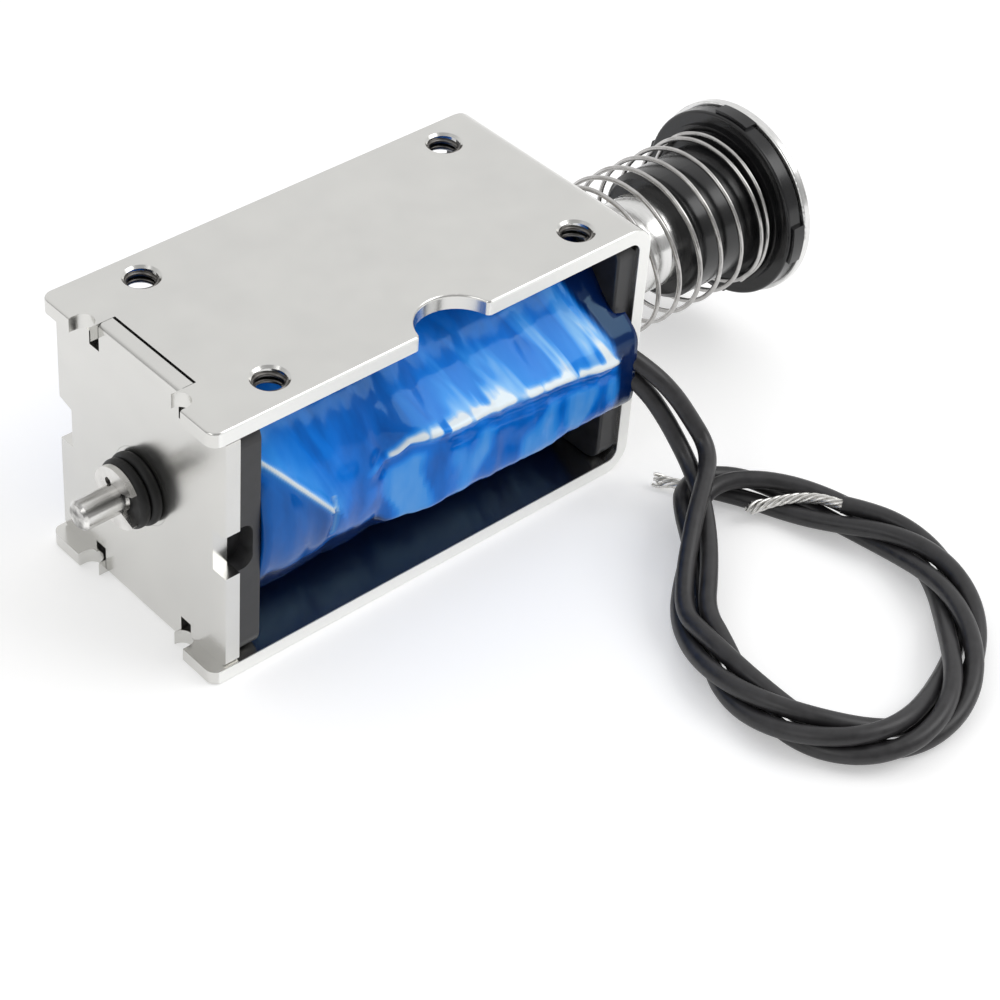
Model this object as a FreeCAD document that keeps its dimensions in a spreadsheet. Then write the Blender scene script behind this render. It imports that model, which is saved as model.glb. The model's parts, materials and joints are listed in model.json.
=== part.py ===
"""Push pull solenoid: a coil in a folded steel frame, with a sprung plunger and a push rod.

Millimetres. X runs along the working axis, with the sprung cap at +X and the push rod at -X.
The notch in the top plate and the leads are at the front, -Y. Z is up, and the origin is the
centre of the frame's underside.
"""
import FreeCAD, Part
import math
import os
from types import SimpleNamespace

import Sketcher

Vector = FreeCAD.Vector
X_DIRECTION = Vector(1, 0, 0)
Y_DIRECTION = Vector(0, 1, 0)
Z_DIRECTION = Vector(0, 0, 1)
NEAR = 0.01
# The reliefs of the retaining ring are so far round from the side opposite its mouth
RELIEF_ANGLE = math.radians(52)
# Lugs that hold the cap disc, and how far round each one goes, in degrees
LUG_COUNT = 4
LUG_ANGLE = 24

SIZES = {
    # Folded frame
    "frame_length": 53.0,
    "frame_width": 26.0,
    "frame_height": 30.0,
    "sheet": 1.6,
    "bend_radius": 2.8,
    "plate_corner": 1.2,
    "arris": 0.3,
    # Threaded mounting holes in the top plate
    "hole_pitch_x": 37.0,
    "hole_pitch_y": 19.0,
    "hole_centre_x": 1.0,
    "hole_radius": 1.65,
    "hole_chamfer": 0.25,
    # Notch in the front edge of the top plate
    "notch_radius": 4.2,
    "notch_x": 1.2,
    "notch_outset": 0.6,
    "notch_corner": 0.6,
    # End plate, held by a tab in a slot of each plate and staked there
    "end_inset": 1.6,
    "end_side_gap": 0.2,
    "tab_width": 12.0,
    "tab_round": 0.6,
    "tab_relief": 1.5,
    "slot_gap": 0.05,
    "slot_floor_gap": 0.3,
    "stake_width": 2.3,
    "stake_depth": 1.9,
    "side_notch_height": 5.0,
    "side_notch_depth": 1.9,
    "side_notch_slant": 0.5,
    "end_corner": 0.6,
    "end_hole_radius": 4.0,
    # Bobbin, winding and tape
    "left_flange": 2.7,
    "right_flange": 2.3,
    "flange_side_gap": 0.5,
    "flange_front_gap": 0.2,
    "flange_gap": 0.1,
    "flange_corner": 1.8,
    "flange_edge": 0.3,
    "flange_recess": 2.1,
    "recess_depth": 1.7,
    "recess_corner": 1.2,
    "barrel_wall": 0.8,
    "coil_gap": 0.3,
    "tape_thickness": 0.3,
    # Leads and their joint sleeves, which a raised ridge of the tape covers
    "lead_diameter": 1.8,
    "lead_pitch": 2.0,
    "lead_drop": 0.1,
    "sleeve_length": 24.0,
    "wrap": 0.3,
    "ridge_ramp": 6.0,
    "ridge_margin": 1.9,
    "ridge_round": 2.2,
    "ridge_overhang": 1.2,
    "hank_radius": 2.15,
    "bare_radius": 0.55,
    # Guide tube and pole piece
    "tube_wall": 0.4,
    "tube_seat_gap": 0.02,
    "bobbin_gap": 0.04,
    "pole_length": 18.8,
    "pole_chamfer": 0.4,
    "washer_thickness": 0.5,
    "washer_radius": 4.8,
    "washer_bore": 1.9,
    # Plunger
    "plunger_radius": 5.1,
    "plunger_gap": 0.06,
    "plunger_chamfer": 0.5,
    "plunger_reach": 14.0,
    "stroke": 10.0,
    "end_gap": 0.3,
    "groove_place": 1.2,
    "groove_width": 0.5,
    "groove_depth": 0.25,
    "spigot_radius": 3.0,
    "head_radius": 3.9,
    "head_thickness": 0.8,
    "fit_gap": 0.01,
    # Push rod, its retaining ring and the rubber rings
    "rod_radius": 1.5,
    "rod_gap": 0.05,
    "rod_reach": 7.1,
    "rod_chamfer": 0.3,
    "rod_seat": 8.0,
    "ring_groove_radius": 1.15,
    "ring_radius": 3.2,
    "ring_thickness": 0.6,
    "ring_mouth": 1.7,
    "ring_mouth_flare": 1.75,
    "ring_relief": 0.45,
    "ring_relief_place": 1.7,
    "bumper_thickness": 1.15,
    "bumper_radius_inner": 3.7,
    "bumper_radius_outer": 3.5,
    "bumper_round": 0.5,
    # Spring seat and cap disc
    "seat_radius": 7.0,
    "seat_length": 10.2,
    "seat_socket": 4.0,
    "seat_nose": 0.6,
    "collar_radius": 7.7,
    "collar_length": 1.0,
    "seat_flange_radius": 10.3,
    "seat_flange": 1.9,
    "seat_flange_round": 0.3,
    "seat_step": 0.45,
    "seat_step_radius": 8.9,
    "lug_setback": 0.4,
    "disc_radius": 10.7,
    "disc_thickness": 1.0,
    "disc_round": 0.2,
    # Return spring
    "spring_radius": 8.2,
    "wire_radius": 0.25,
    "spring_gap": 0.2,
    "closed_pitch": 0.53,
    "open_turns": 7.25,
    "spring_start": 140.0,
}

# Free leads, from the tape to the loop that lies in front: points chosen by hand
LEAD_1_ROUTE = [
    (23.8, -14.0, 15.9),
    (25.1, -16.2, 14.6),
    (26.5, -18.4, 12.3),
    (27.6, -20.0, 9.4),
    (28.4, -21.2, 6.2),
    (28.7, -22.0, 3.0),
]
LEAD_2_ROUTE = [
    (23.8, -14.0, 13.9),
    (24.9, -16.2, 12.1),
    (25.9, -18.1, 9.5),
    (26.7, -19.6, 6.3),
    (27.2, -20.5, 3.1),
]
# Middle of the loop that the two leads lie in, two turns of each laid together
HANK_ROUTE = [
    (25.5, -21.9),
    (20.2, -26.3),
    (15.2, -31.9),
    (11.7, -38.8),
    (9.8, -45.3),
    (10.7, -51.6),
    (14.0, -56.6),
    (19.3, -58.5),
    (26.0, -57.0),
    (32.2, -52.6),
    (36.4, -47.4),
    (37.9, -42.2),
    (37.4, -37.0),
    (35.2, -32.0),
    (33.0, -27.4),
    (29.9, -22.9),
]
# Stripped ends, from where the insulation stops to the tip
BARE_ROUTES = [
    ((37.0, -33.4, 1.8), (30.4, -25.4, 1.4)),
    ((28.6, -24.2, 2.0), (26.6, -16.6, 0.9)),
]


class Size:
    """A number together with the spreadsheet formula that gives it."""

    def __init__(self, value, formula):
        self.value = value
        self.formula = formula

    @staticmethod
    def of(number):
        return number if isinstance(number, Size) else Size(float(number), repr(float(number)))

    def joined(self, other, sign, value):
        return Size(value, f"({self.formula} {sign} {other.formula})")

    def __neg__(self):
        return Size(-self.value, f"(-1 * {self.formula})")

    def __add__(self, other):
        other = Size.of(other)
        return self.joined(other, "+", self.value + other.value)

    def __sub__(self, other):
        other = Size.of(other)
        return self.joined(other, "-", self.value - other.value)

    def __mul__(self, other):
        other = Size.of(other)
        return self.joined(other, "*", self.value * other.value)

    def __truediv__(self, other):
        other = Size.of(other)
        return self.joined(other, "/", self.value / other.value)


def largest(first, second):
    """The larger of two lengths."""
    return Size(max(first.value, second.value), f"max({first.formula}; {second.formula})")


doc = FreeCAD.newDocument("PushPullSolenoid")
sheet = doc.addObject("Spreadsheet::Sheet", "Sizes")
for row, (alias, number) in enumerate(SIZES.items(), 1):
    sheet.set(f"A{row}", alias)
    sheet.set(f"B{row}", str(number))
    sheet.setAlias(f"B{row}", alias)
doc.recompute()
size = SimpleNamespace(**{alias: Size(sheet.get(alias), f"Sizes.{alias}") for alias in SIZES})
parts = []

# Places along the working axis that several pieces share
half_length = size.frame_length / 2
half_width = size.frame_width / 2
axis_height = size.frame_height / 2
end_outer = size.end_inset - half_length
end_inner = end_outer + size.sheet
wall_outer = half_length
wall_inner = half_length - size.sheet
coil_left = end_inner + size.left_flange
coil_right = wall_inner - size.right_flange
pole_face = end_inner + size.pole_length
washer_face = pole_face + size.washer_thickness
plunger_end = washer_face + size.stroke + size.end_gap
seat_start = wall_outer + size.plunger_reach
flange_face = seat_start + size.seat_length
disc_face = flange_face + size.seat_flange
head_face = disc_face + size.disc_thickness
rod_tip = end_outer - size.rod_reach
ring_face = end_outer - size.bumper_thickness * 2

# Half width of the bobbin's flanges, and radii that several pieces share
flange_side = half_width - size.flange_side_gap
tape_radius = axis_height - size.sheet - size.coil_gap
winding_radius = tape_radius - size.tape_thickness
tube_bore = size.plunger_radius + size.plunger_gap
tube_radius = tube_bore + size.tube_wall
barrel_bore = tube_radius + size.bobbin_gap
barrel_radius = barrel_bore + size.barrel_wall
lead_radius = size.lead_diameter / 2
lead_y = -(largest(tape_radius, flange_side + size.flange_front_gap) + lead_radius)
lead_rises = [size.lead_pitch / 2 - size.lead_drop, -(size.lead_pitch / 2) - size.lead_drop]


def bind(thing, path, length):
    """Drive a property from the sheet."""
    thing.setExpression(path, Size.of(length).formula)


def new_body(name, raised=False):
    """A sub-part; raised ones are drawn about the working axis."""
    body = doc.addObject("PartDesign::Body", name)
    body.Label = name
    if raised:
        bind(body, "Placement.Base.z", axis_height)
    parts.append(body)
    return body


def origin_part(body, role):
    """One of the body's own origin planes or axes."""
    return next(item for item in body.Origin.OriginFeatures if item.Role == role)


def new_sketch(body, name, plane, offset=None):
    """A sketch on one of the body's origin planes, moved along the plane's normal."""
    sketch = body.newObject("Sketcher::SketchObject", name)
    sketch.AttachmentSupport = [(origin_part(body, plane), "")]
    sketch.MapMode = "FlatFace"
    if offset is not None:
        bind(sketch, "AttachmentOffset.Base.z", offset)
    return sketch


def hold(sketch, kind, *where, length):
    """A dimension of the sketch that follows the sheet."""
    index = sketch.addConstraint(Sketcher.Constraint(kind, *where, Size.of(length).value))
    bind(sketch, f"Constraints[{index}]", length)


def hold_point(sketch, curve, end, point):
    """Place a curve's point by its two coordinates."""
    hold(sketch, "DistanceX", -1, 1, curve, end, length=point[0])
    hold(sketch, "DistanceY", -1, 1, curve, end, length=point[1])


def add_polygon(sketch, corners):
    """A closed outline of straight lines through the corners."""
    first = sketch.GeometryCount
    flat = [Vector(Size.of(a).value, Size.of(b).value, 0) for a, b in corners]
    for here, there in zip(flat, flat[1:] + flat[:1]):
        sketch.addGeometry(Part.LineSegment(here, there), False)
    for index, corner in enumerate(corners):
        following = first + (index + 1) % len(corners)
        sketch.addConstraint(Sketcher.Constraint("Coincident", first + index, 2, following, 1))
        hold_point(sketch, first + index, 1, corner)


def add_circle(sketch, centre, radius):
    """A circle that is placed by its middle."""
    middle = Vector(Size.of(centre[0]).value, Size.of(centre[1]).value, 0)
    curve = sketch.addGeometry(Part.Circle(middle, Z_DIRECTION, Size.of(radius).value), False)
    hold_point(sketch, curve, 3, centre)
    hold(sketch, "Radius", curve, length=radius)


def box_corners(low_x, low_y, high_x, high_y):
    """The four corners of a rectangle."""
    return [(low_x, low_y), (high_x, low_y), (high_x, high_y), (low_x, high_y)]


def pad(body, name, sketch, length, symmetric=False):
    """Material on one side of the sketch, or half on each side."""
    feature = body.newObject("PartDesign::Pad", name)
    feature.Profile = sketch
    bind(feature, "Length", length)
    if symmetric:
        feature.SideType = "Symmetric"
    return feature


def pocket(body, name, sketch, depth=None, reverse=False):
    """A cut of the sketch's shape, to a depth or right through both ways."""
    doc.recompute()
    before = body.Shape.Volume
    feature = body.newObject("PartDesign::Pocket", name)
    feature.Profile = sketch
    if depth is None:
        feature.Type = "ThroughAll"
        feature.SideType = "Symmetric"
    else:
        bind(feature, "Length", depth)
        feature.Reversed = reverse
    doc.recompute()
    if feature.Shape.Volume > before - NEAR:
        raise ValueError(f"{name} cuts nothing")
    return feature


def turn(body, name, outline):
    """A solid of revolution about the working axis, from places along it and radii."""
    sketch = new_sketch(body, name + "_profile", "XZ_Plane")
    add_polygon(sketch, outline)
    feature = body.newObject("PartDesign::Revolution", name)
    feature.Profile = sketch
    feature.ReferenceAxis = (origin_part(body, "X_Axis"), [""])
    return feature


def along(edge, direction):
    """Whether an edge is straight and lies in the direction."""
    if edge.Curve.TypeId != "Part::GeomLine":
        return False
    return abs(abs(edge.Curve.Direction.dot(direction)) - 1) < NEAR


def near(number, *lengths):
    """Whether a coordinate is at one of the lengths."""
    return any(abs(number - Size.of(length).value) < NEAR for length in lengths)


def rim(edge, place, radius):
    """Whether an edge is a circle about the working axis of that place and radius."""
    if edge.Curve.TypeId != "Part::GeomCircle":
        return False
    return near(edge.Curve.Center.x, place) and near(edge.Curve.Radius, radius)


def soften(body, name, wanted, length, kind="Fillet"):
    """Round or bevel the edges of the body's last feature that pass the test."""
    doc.recompute()
    base = body.Tip
    names = [f"Edge{number}" for number, edge in enumerate(base.Shape.Edges, 1) if wanted(edge)]
    if not names:
        raise ValueError(f"{name} finds no edge")
    feature = body.newObject(f"PartDesign::{kind}", name)
    feature.Base = (base, names)
    bind(feature, "Radius" if kind == "Fillet" else "Size", length)
    return feature


def new_feature(name, shape, height=None):
    """A sub-part whose shape is made by functions, raised where it is about the axis."""
    feature = doc.addObject("Part::Feature", name)
    feature.Label = name
    feature.Shape = shape
    if height is not None:
        bind(feature, "Placement.Base.z", height)
    parts.append(feature)
    return feature


def cylinder(name, start, length, radius):
    """A plain cylinder on the working axis."""
    feature = doc.addObject("Part::Cylinder", name)
    feature.Placement.Rotation = FreeCAD.Rotation(Z_DIRECTION, X_DIRECTION)
    bind(feature, "Placement.Base.x", start)
    bind(feature, "Placement.Base.z", axis_height)
    bind(feature, "Height", length)
    bind(feature, "Radius", radius)
    return feature


def make_frame():
    """One strip, cut out flat and folded twice, open at its left end."""
    body = new_body("frame")
    top = size.frame_height
    under_top = top - size.sheet
    profile = new_sketch(body, "strip_profile", "XZ_Plane")
    add_polygon(profile, [
        (-half_length, 0),
        (wall_outer, 0),
        (wall_outer, top),
        (-half_length, top),
        (-half_length, under_top),
        (wall_inner, under_top),
        (wall_inner, size.sheet),
        (-half_length, size.sheet),
    ])
    pad(body, "strip", profile, size.frame_width, symmetric=True)

    def outer_fold(edge):
        return along(edge, Y_DIRECTION) and near(edge.CenterOfMass.x, wall_outer)

    def inner_fold(edge):
        return along(edge, Y_DIRECTION) and near(edge.CenterOfMass.x, wall_inner)

    def plate_corner(edge):
        return along(edge, Z_DIRECTION) and near(edge.CenterOfMass.x, -half_length)

    soften(body, "outer_folds", outer_fold, size.bend_radius)
    soften(body, "inner_folds", inner_fold, size.bend_radius - size.sheet)
    soften(body, "plate_corners", plate_corner, size.plate_corner)

    # Slots for the end plate's tabs, with a half-round mouth on each side where it is staked
    slot_floor = end_inner + size.slot_floor_gap
    slot_half = size.tab_width / 2 + size.slot_gap
    stake_radius = size.stake_width / 2
    stake_centre = size.stake_depth - half_length - stake_radius
    beyond = -half_length - size.sheet
    slots = new_sketch(body, "slot_outline", "XY_Plane")
    add_polygon(slots, box_corners(beyond, -slot_half, slot_floor, slot_half))
    pocket(body, "slots", slots)
    for side, name in ((1, "back"), (-1, "front")):
        mouth = new_sketch(body, f"stake_mouth_{name}_outline", "XY_Plane")
        edge_y = (slot_half + size.stake_width) * side
        add_polygon(mouth, box_corners(beyond, slot_half * side - stake_radius * side, stake_centre, edge_y))
        pocket(body, f"stake_mouth_{name}", mouth)
        floor = new_sketch(body, f"stake_floor_{name}_outline", "XY_Plane")
        add_circle(floor, (stake_centre, (slot_half + stake_radius) * side), stake_radius)
        pocket(body, f"stake_floor_{name}", floor)

    notch = new_sketch(body, "notch_outline", "XY_Plane", top)
    add_circle(notch, (size.notch_x, -half_width - size.notch_outset), size.notch_radius)
    pocket(body, "notch", notch, size.sheet)

    def notch_mouth(edge):
        middle = edge.CenterOfMass
        across = abs(middle.x - size.notch_x.value) < size.notch_radius.value
        return along(edge, Z_DIRECTION) and near(middle.y, -half_width) and across

    soften(body, "notch_mouth", notch_mouth, size.notch_corner)

    def outside_edge(edge):
        middle = edge.CenterOfMass
        folded = edge.Curve.TypeId == "Part::GeomCircle" and near(edge.Curve.Radius, size.bend_radius)
        outside = near(middle.z, 0, top) or near(middle.x, wall_outer) or folded
        inner_reach = half_width.value - size.notch_radius.value
        return outside and abs(middle.y) > inner_reach and len(edge.Vertexes) == 2

    soften(body, "arrises", outside_edge, size.arris)

    wall_hole = new_sketch(body, "wall_hole_outline", "YZ_Plane", wall_outer)
    add_circle(wall_hole, (0, axis_height), tube_radius + size.tube_seat_gap)
    pocket(body, "wall_hole", wall_hole, size.sheet)

    holes = new_sketch(body, "hole_outline", "XY_Plane", top)
    for step_x in (-1, 1):
        for step_y in (-1, 1):
            place = size.hole_centre_x + size.hole_pitch_x / 2 * step_x
            add_circle(holes, (place, size.hole_pitch_y / 2 * step_y), size.hole_radius)
    pocket(body, "holes", holes, size.sheet)

    def hole_rim(edge):
        if edge.Curve.TypeId != "Part::GeomCircle":
            return False
        return near(edge.Curve.Radius, size.hole_radius) and near(edge.CenterOfMass.z, top)

    soften(body, "hole_rims", hole_rim, size.hole_chamfer, "Chamfer")


def make_end_plate():
    """Plate that closes the open end, with a tab in each slot and notched side edges."""
    body = new_body("end_plate")
    top = size.frame_height
    side = half_width - size.end_side_gap
    tab = size.tab_width / 2
    relief = tab + size.tab_relief
    low, high = size.sheet, top - size.sheet
    notch_low = axis_height - size.side_notch_height / 2
    notch_high = axis_height + size.side_notch_height / 2
    notch_floor = side - size.side_notch_depth
    right = [
        (tab, 0),
        (tab, low + size.tab_relief),
        (relief, low + size.tab_relief),
        (relief, low),
        (side, low),
        (side, notch_low),
        (notch_floor, notch_low),
        (notch_floor, notch_high - size.side_notch_slant),
        (side, notch_high),
        (side, high),
        (relief, high),
        (relief, high - size.tab_relief),
        (tab, high - size.tab_relief),
        (tab, top),
    ]
    left = [(-across, up) for across, up in reversed(right)]
    outline = new_sketch(body, "end_outline", "YZ_Plane", end_outer)
    add_polygon(outline, right + left)
    pad(body, "end_blank", outline, size.sheet)
    hole = new_sketch(body, "end_hole_outline", "YZ_Plane", end_outer)
    add_circle(hole, (0, axis_height), size.end_hole_radius + size.tube_seat_gap)
    pocket(body, "end_hole", hole, size.sheet, reverse=True)

    def tab_arris(edge):
        middle = edge.CenterOfMass
        return along(edge, Y_DIRECTION) and near(middle.x, end_outer) and near(middle.z, 0, top)

    def outer_corner(edge):
        middle = edge.CenterOfMass
        return along(edge, X_DIRECTION) and near(abs(middle.y), side) and near(middle.z, low, high)

    soften(body, "tab_arrises", tab_arris, size.tab_round)
    soften(body, "end_corners", outer_corner, size.end_corner)


def make_bobbin():
    """Moulded barrel with a square flange at each end."""
    body = new_body("bobbin", raised=True)
    across = flange_side
    up = axis_height - size.sheet - size.flange_gap
    for name, start, thickness in (("left", end_inner, size.left_flange), ("right", coil_right, size.right_flange)):
        square = new_sketch(body, f"{name}_flange_outline", "YZ_Plane", start)
        add_polygon(square, box_corners(-across, -up, across, up))
        pad(body, f"{name}_flange", square, thickness)
        if name == "left":
            barrel = new_sketch(body, "barrel_outline", "YZ_Plane", end_inner)
            add_circle(barrel, (0, 0), barrel_radius)
            pad(body, "barrel", barrel, coil_right - end_inner)
    bore = new_sketch(body, "barrel_bore_outline", "YZ_Plane", end_inner)
    add_circle(bore, (0, 0), barrel_bore)
    pocket(body, "barrel_bore", bore, wall_inner - end_inner, reverse=True)

    def flange_corner(edge):
        middle = edge.CenterOfMass
        return along(edge, X_DIRECTION) and near(abs(middle.y), across) and near(abs(middle.z), up)

    def wall_side(edge):
        middle = edge.CenterOfMass
        return along(edge, Y_DIRECTION) and near(middle.x, wall_inner) and near(abs(middle.z), up)

    def coil_side(edge):
        middle = edge.CenterOfMass
        return near(middle.x, coil_left, coil_right) and abs(middle.y) > barrel_radius.value

    # The bevel leaves room for the inside of the frame's folds
    soften(body, "fold_bevels", wall_side, size.bend_radius - size.sheet + size.flange_gap, "Chamfer")
    soften(body, "flange_corners", flange_corner, size.flange_corner)
    recess = new_sketch(body, "recess_outline", "YZ_Plane", end_inner)
    reach = size.frame_width
    for side in (-1, 1):
        floor = (across - size.flange_recess) * side
        half_height = size.side_notch_height / 2
        add_polygon(recess, box_corners(floor, -half_height, reach * side, half_height))
    pocket(body, "recesses", recess, size.recess_depth, reverse=True)

    def recess_corner(edge):
        middle = edge.CenterOfMass
        return along(edge, Y_DIRECTION) and near(middle.x, end_inner + size.recess_depth) and near(
            abs(middle.z), size.side_notch_height / 2)

    soften(body, "recess_corners", recess_corner, size.recess_corner)
    soften(body, "flange_edges", coil_side, size.flange_edge)


def make_winding():
    """Copper winding, as one solid ring between the flanges."""
    length = coil_right - coil_left
    outer = cylinder("winding_outside", coil_left, length, winding_radius)
    inner = cylinder("winding_inside", coil_left, length, barrel_radius)
    ring = doc.addObject("Part::Cut", "winding")
    ring.Label = "winding"
    ring.Base = outer
    ring.Tool = inner
    parts.append(ring)


def make_coil_tape():
    """Tape round the coil, with the ridge where it covers the leads' joint sleeves."""
    body = new_body("coil_tape", raised=True)
    length = coil_right - coil_left
    wrap = lead_radius + size.wrap
    ridge_y = lead_y - wrap
    ridge_top = lead_rises[0] + wrap + size.ridge_margin
    ridge_low = lead_rises[1] - wrap - size.ridge_margin
    ridge_end = coil_right + size.ridge_overhang
    ramp_start = ridge_end - size.sleeve_length - size.ridge_ramp
    # The tape leaves the round about 40 degrees above and below the leads
    root_y, root_z = tape_radius * -0.75, tape_radius * 0.62
    disc = new_sketch(body, "tape_outline", "YZ_Plane", coil_left)
    add_circle(disc, (0, 0), tape_radius)
    pad(body, "tape_round", disc, length)
    ridge = new_sketch(body, "ridge_outline", "YZ_Plane", ramp_start)
    add_polygon(ridge, [(root_y, root_z), (ridge_y, ridge_top), (ridge_y, ridge_low), (root_y, -root_z)])
    pad(body, "ridge", ridge, size.sleeve_length + size.ridge_ramp)

    def ridge_edge(edge):
        return along(edge, X_DIRECTION) and near(edge.CenterOfMass.y, ridge_y)

    soften(body, "ridge_round", ridge_edge, size.ridge_round)
    ramp = new_sketch(body, "ramp_outline", "XY_Plane")
    beyond = ridge_y - size.wrap
    add_polygon(ramp, [
        (ramp_start - size.wrap, -tape_radius),
        (ramp_start, -tape_radius),
        (ramp_start + size.ridge_ramp, ridge_y),
        (ramp_start + size.ridge_ramp, beyond),
        (ramp_start - size.wrap, beyond),
    ])
    pocket(body, "ramp", ramp)
    # Over the flange the ridge has only its outer part, clear of the flange's front edge
    step = new_sketch(body, "overhang_outline", "YZ_Plane", ridge_end)
    step_y = -(flange_side + size.flange_front_gap)
    add_polygon(step, box_corners(step_y, -tape_radius, 0, tape_radius))
    pocket(body, "overhang", step, size.ridge_overhang)
    bore = new_sketch(body, "tape_bore_outline", "YZ_Plane", coil_left)
    add_circle(bore, (0, 0), winding_radius)
    pocket(body, "tape_bore", bore, length, reverse=True)
    channels = new_sketch(body, "channel_outline", "YZ_Plane", ridge_end)
    for rise in lead_rises:
        add_circle(channels, (lead_y, rise), lead_radius + size.tube_seat_gap)
    pocket(body, "channels", channels, size.sleeve_length)


def make_joint_sleeves():
    """Sleeves over the joints of winding wire and lead, side by side under the tape."""
    for number, rise in enumerate(lead_rises, 1):
        start = coil_right + size.ridge_overhang - size.sleeve_length
        sleeve = cylinder(f"joint_sleeve_{number}", start, size.sleeve_length, lead_radius)
        sleeve.Label = f"joint_sleeve_{number}"
        bind(sleeve, "Placement.Base.y", lead_y)
        bind(sleeve, "Placement.Base.z", axis_height + rise)
        parts.append(sleeve)


def make_guide_tube():
    """Brass tube that seats in the wall and takes the pole piece and the plunger."""
    body = new_body("guide_tube", raised=True)
    start = end_inner + size.slot_floor_gap
    turn(body, "tube_wall", box_corners(start, tube_bore, wall_outer, tube_radius))


def make_pole_piece():
    """Fixed core, staked into the end plate, with a bore for the push rod."""
    body = new_body("pole_piece", raised=True)
    bore = size.rod_radius + size.rod_gap
    turn(body, "pole_blank", [
        (end_outer, bore),
        (pole_face, bore),
        (pole_face, size.plunger_radius - size.pole_chamfer),
        (pole_face - size.pole_chamfer, size.plunger_radius),
        (end_inner, size.plunger_radius),
        (end_inner, size.end_hole_radius),
        (end_outer, size.end_hole_radius),
    ])


def make_gap_washer():
    """Washer that keeps the plunger from sticking to the pole piece."""
    body = new_body("gap_washer", raised=True)
    turn(body, "washer", box_corners(pole_face, size.washer_bore, washer_face, size.washer_radius))


def make_plunger():
    """Turned plunger, with a spigot that is riveted over the cap disc."""
    body = new_body("plunger", raised=True)
    bore = size.rod_radius + size.fit_gap
    shoulder = seat_start + size.seat_socket
    groove_end = seat_start - size.groove_place
    groove_start = groove_end - size.groove_width
    groove_floor = size.plunger_radius - size.groove_depth
    rivet = head_face + size.head_thickness
    turn(body, "plunger_blank", [
        (plunger_end, bore),
        (plunger_end, size.plunger_radius - size.plunger_chamfer),
        (plunger_end + size.plunger_chamfer, size.plunger_radius),
        (groove_start, size.plunger_radius),
        (groove_start, groove_floor),
        (groove_end, groove_floor),
        (groove_end, size.plunger_radius),
        (shoulder, size.plunger_radius),
        (shoulder, size.spigot_radius),
        (head_face, size.spigot_radius),
        (head_face, size.head_radius),
        (rivet - size.head_thickness / 2, size.head_radius),
        (rivet, size.spigot_radius),
        (rivet, 0),
        (plunger_end + size.rod_seat, 0),
        (plunger_end + size.rod_seat, bore),
    ])


def make_push_rod():
    """Round rod through the pole piece, with a groove for its retaining ring."""
    body = new_body("push_rod", raised=True)
    groove_start = ring_face - size.ring_thickness - size.fit_gap
    groove_end = ring_face + size.fit_gap
    turn(body, "rod_blank", [
        (rod_tip, 0),
        (rod_tip, size.rod_radius - size.rod_chamfer),
        (rod_tip + size.rod_chamfer, size.rod_radius),
        (groove_start, size.rod_radius),
        (groove_start, size.ring_groove_radius),
        (groove_end, size.ring_groove_radius),
        (groove_end, size.rod_radius),
        (plunger_end + size.rod_seat, size.rod_radius),
        (plunger_end + size.rod_seat, 0),
    ])


def make_retaining_ring():
    """E-shaped ring in the rod's groove, open towards the front."""
    body = new_body("retaining_ring", raised=True)
    start = ring_face - size.ring_thickness
    disc = new_sketch(body, "ring_outline", "YZ_Plane", start)
    add_circle(disc, (0, 0), size.ring_radius)
    pad(body, "ring_disc", disc, size.ring_thickness)
    seat = new_sketch(body, "ring_seat_outline", "YZ_Plane", start)
    add_circle(seat, (0, 0), size.ring_groove_radius + size.fit_gap)
    pocket(body, "ring_seat", seat, size.ring_thickness, reverse=True)
    mouth = new_sketch(body, "ring_mouth_outline", "YZ_Plane", start)
    half_mouth = size.ring_mouth / 2
    wide_mouth = half_mouth + size.ring_mouth_flare
    beyond = -size.ring_radius * 1.5
    add_polygon(mouth, [(0, half_mouth), (beyond, wide_mouth), (beyond, -wide_mouth), (0, -half_mouth)])
    pocket(body, "ring_mouth", mouth, size.ring_thickness, reverse=True)
    for side, name in ((-1, "lower"), (1, "upper")):
        relief = new_sketch(body, f"ring_relief_{name}_outline", "YZ_Plane", start)
        across = size.ring_relief_place * math.cos(RELIEF_ANGLE)
        up = size.ring_relief_place * math.sin(RELIEF_ANGLE)
        add_circle(relief, (across, up * side), size.ring_relief)
        pocket(body, f"ring_relief_{name}", relief, size.ring_thickness, reverse=True)


def make_bumper_rings():
    """Two rubber rings that soften the stop against the end plate."""
    for name, end, radius in (
        ("bumper_ring_inner", end_outer, size.bumper_radius_inner),
        ("bumper_ring_outer", end_outer - size.bumper_thickness, size.bumper_radius_outer),
    ):
        body = new_body(name, raised=True)
        start = end - size.bumper_thickness
        turn(body, f"{name}_blank", box_corners(start, size.rod_radius + size.fit_gap, end, radius))

        def outer_rim(edge, start=start, end=end, radius=radius):
            return rim(edge, start, radius) or rim(edge, end, radius)

        soften(body, f"{name}_rims", outer_rim, size.bumper_round)


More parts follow.
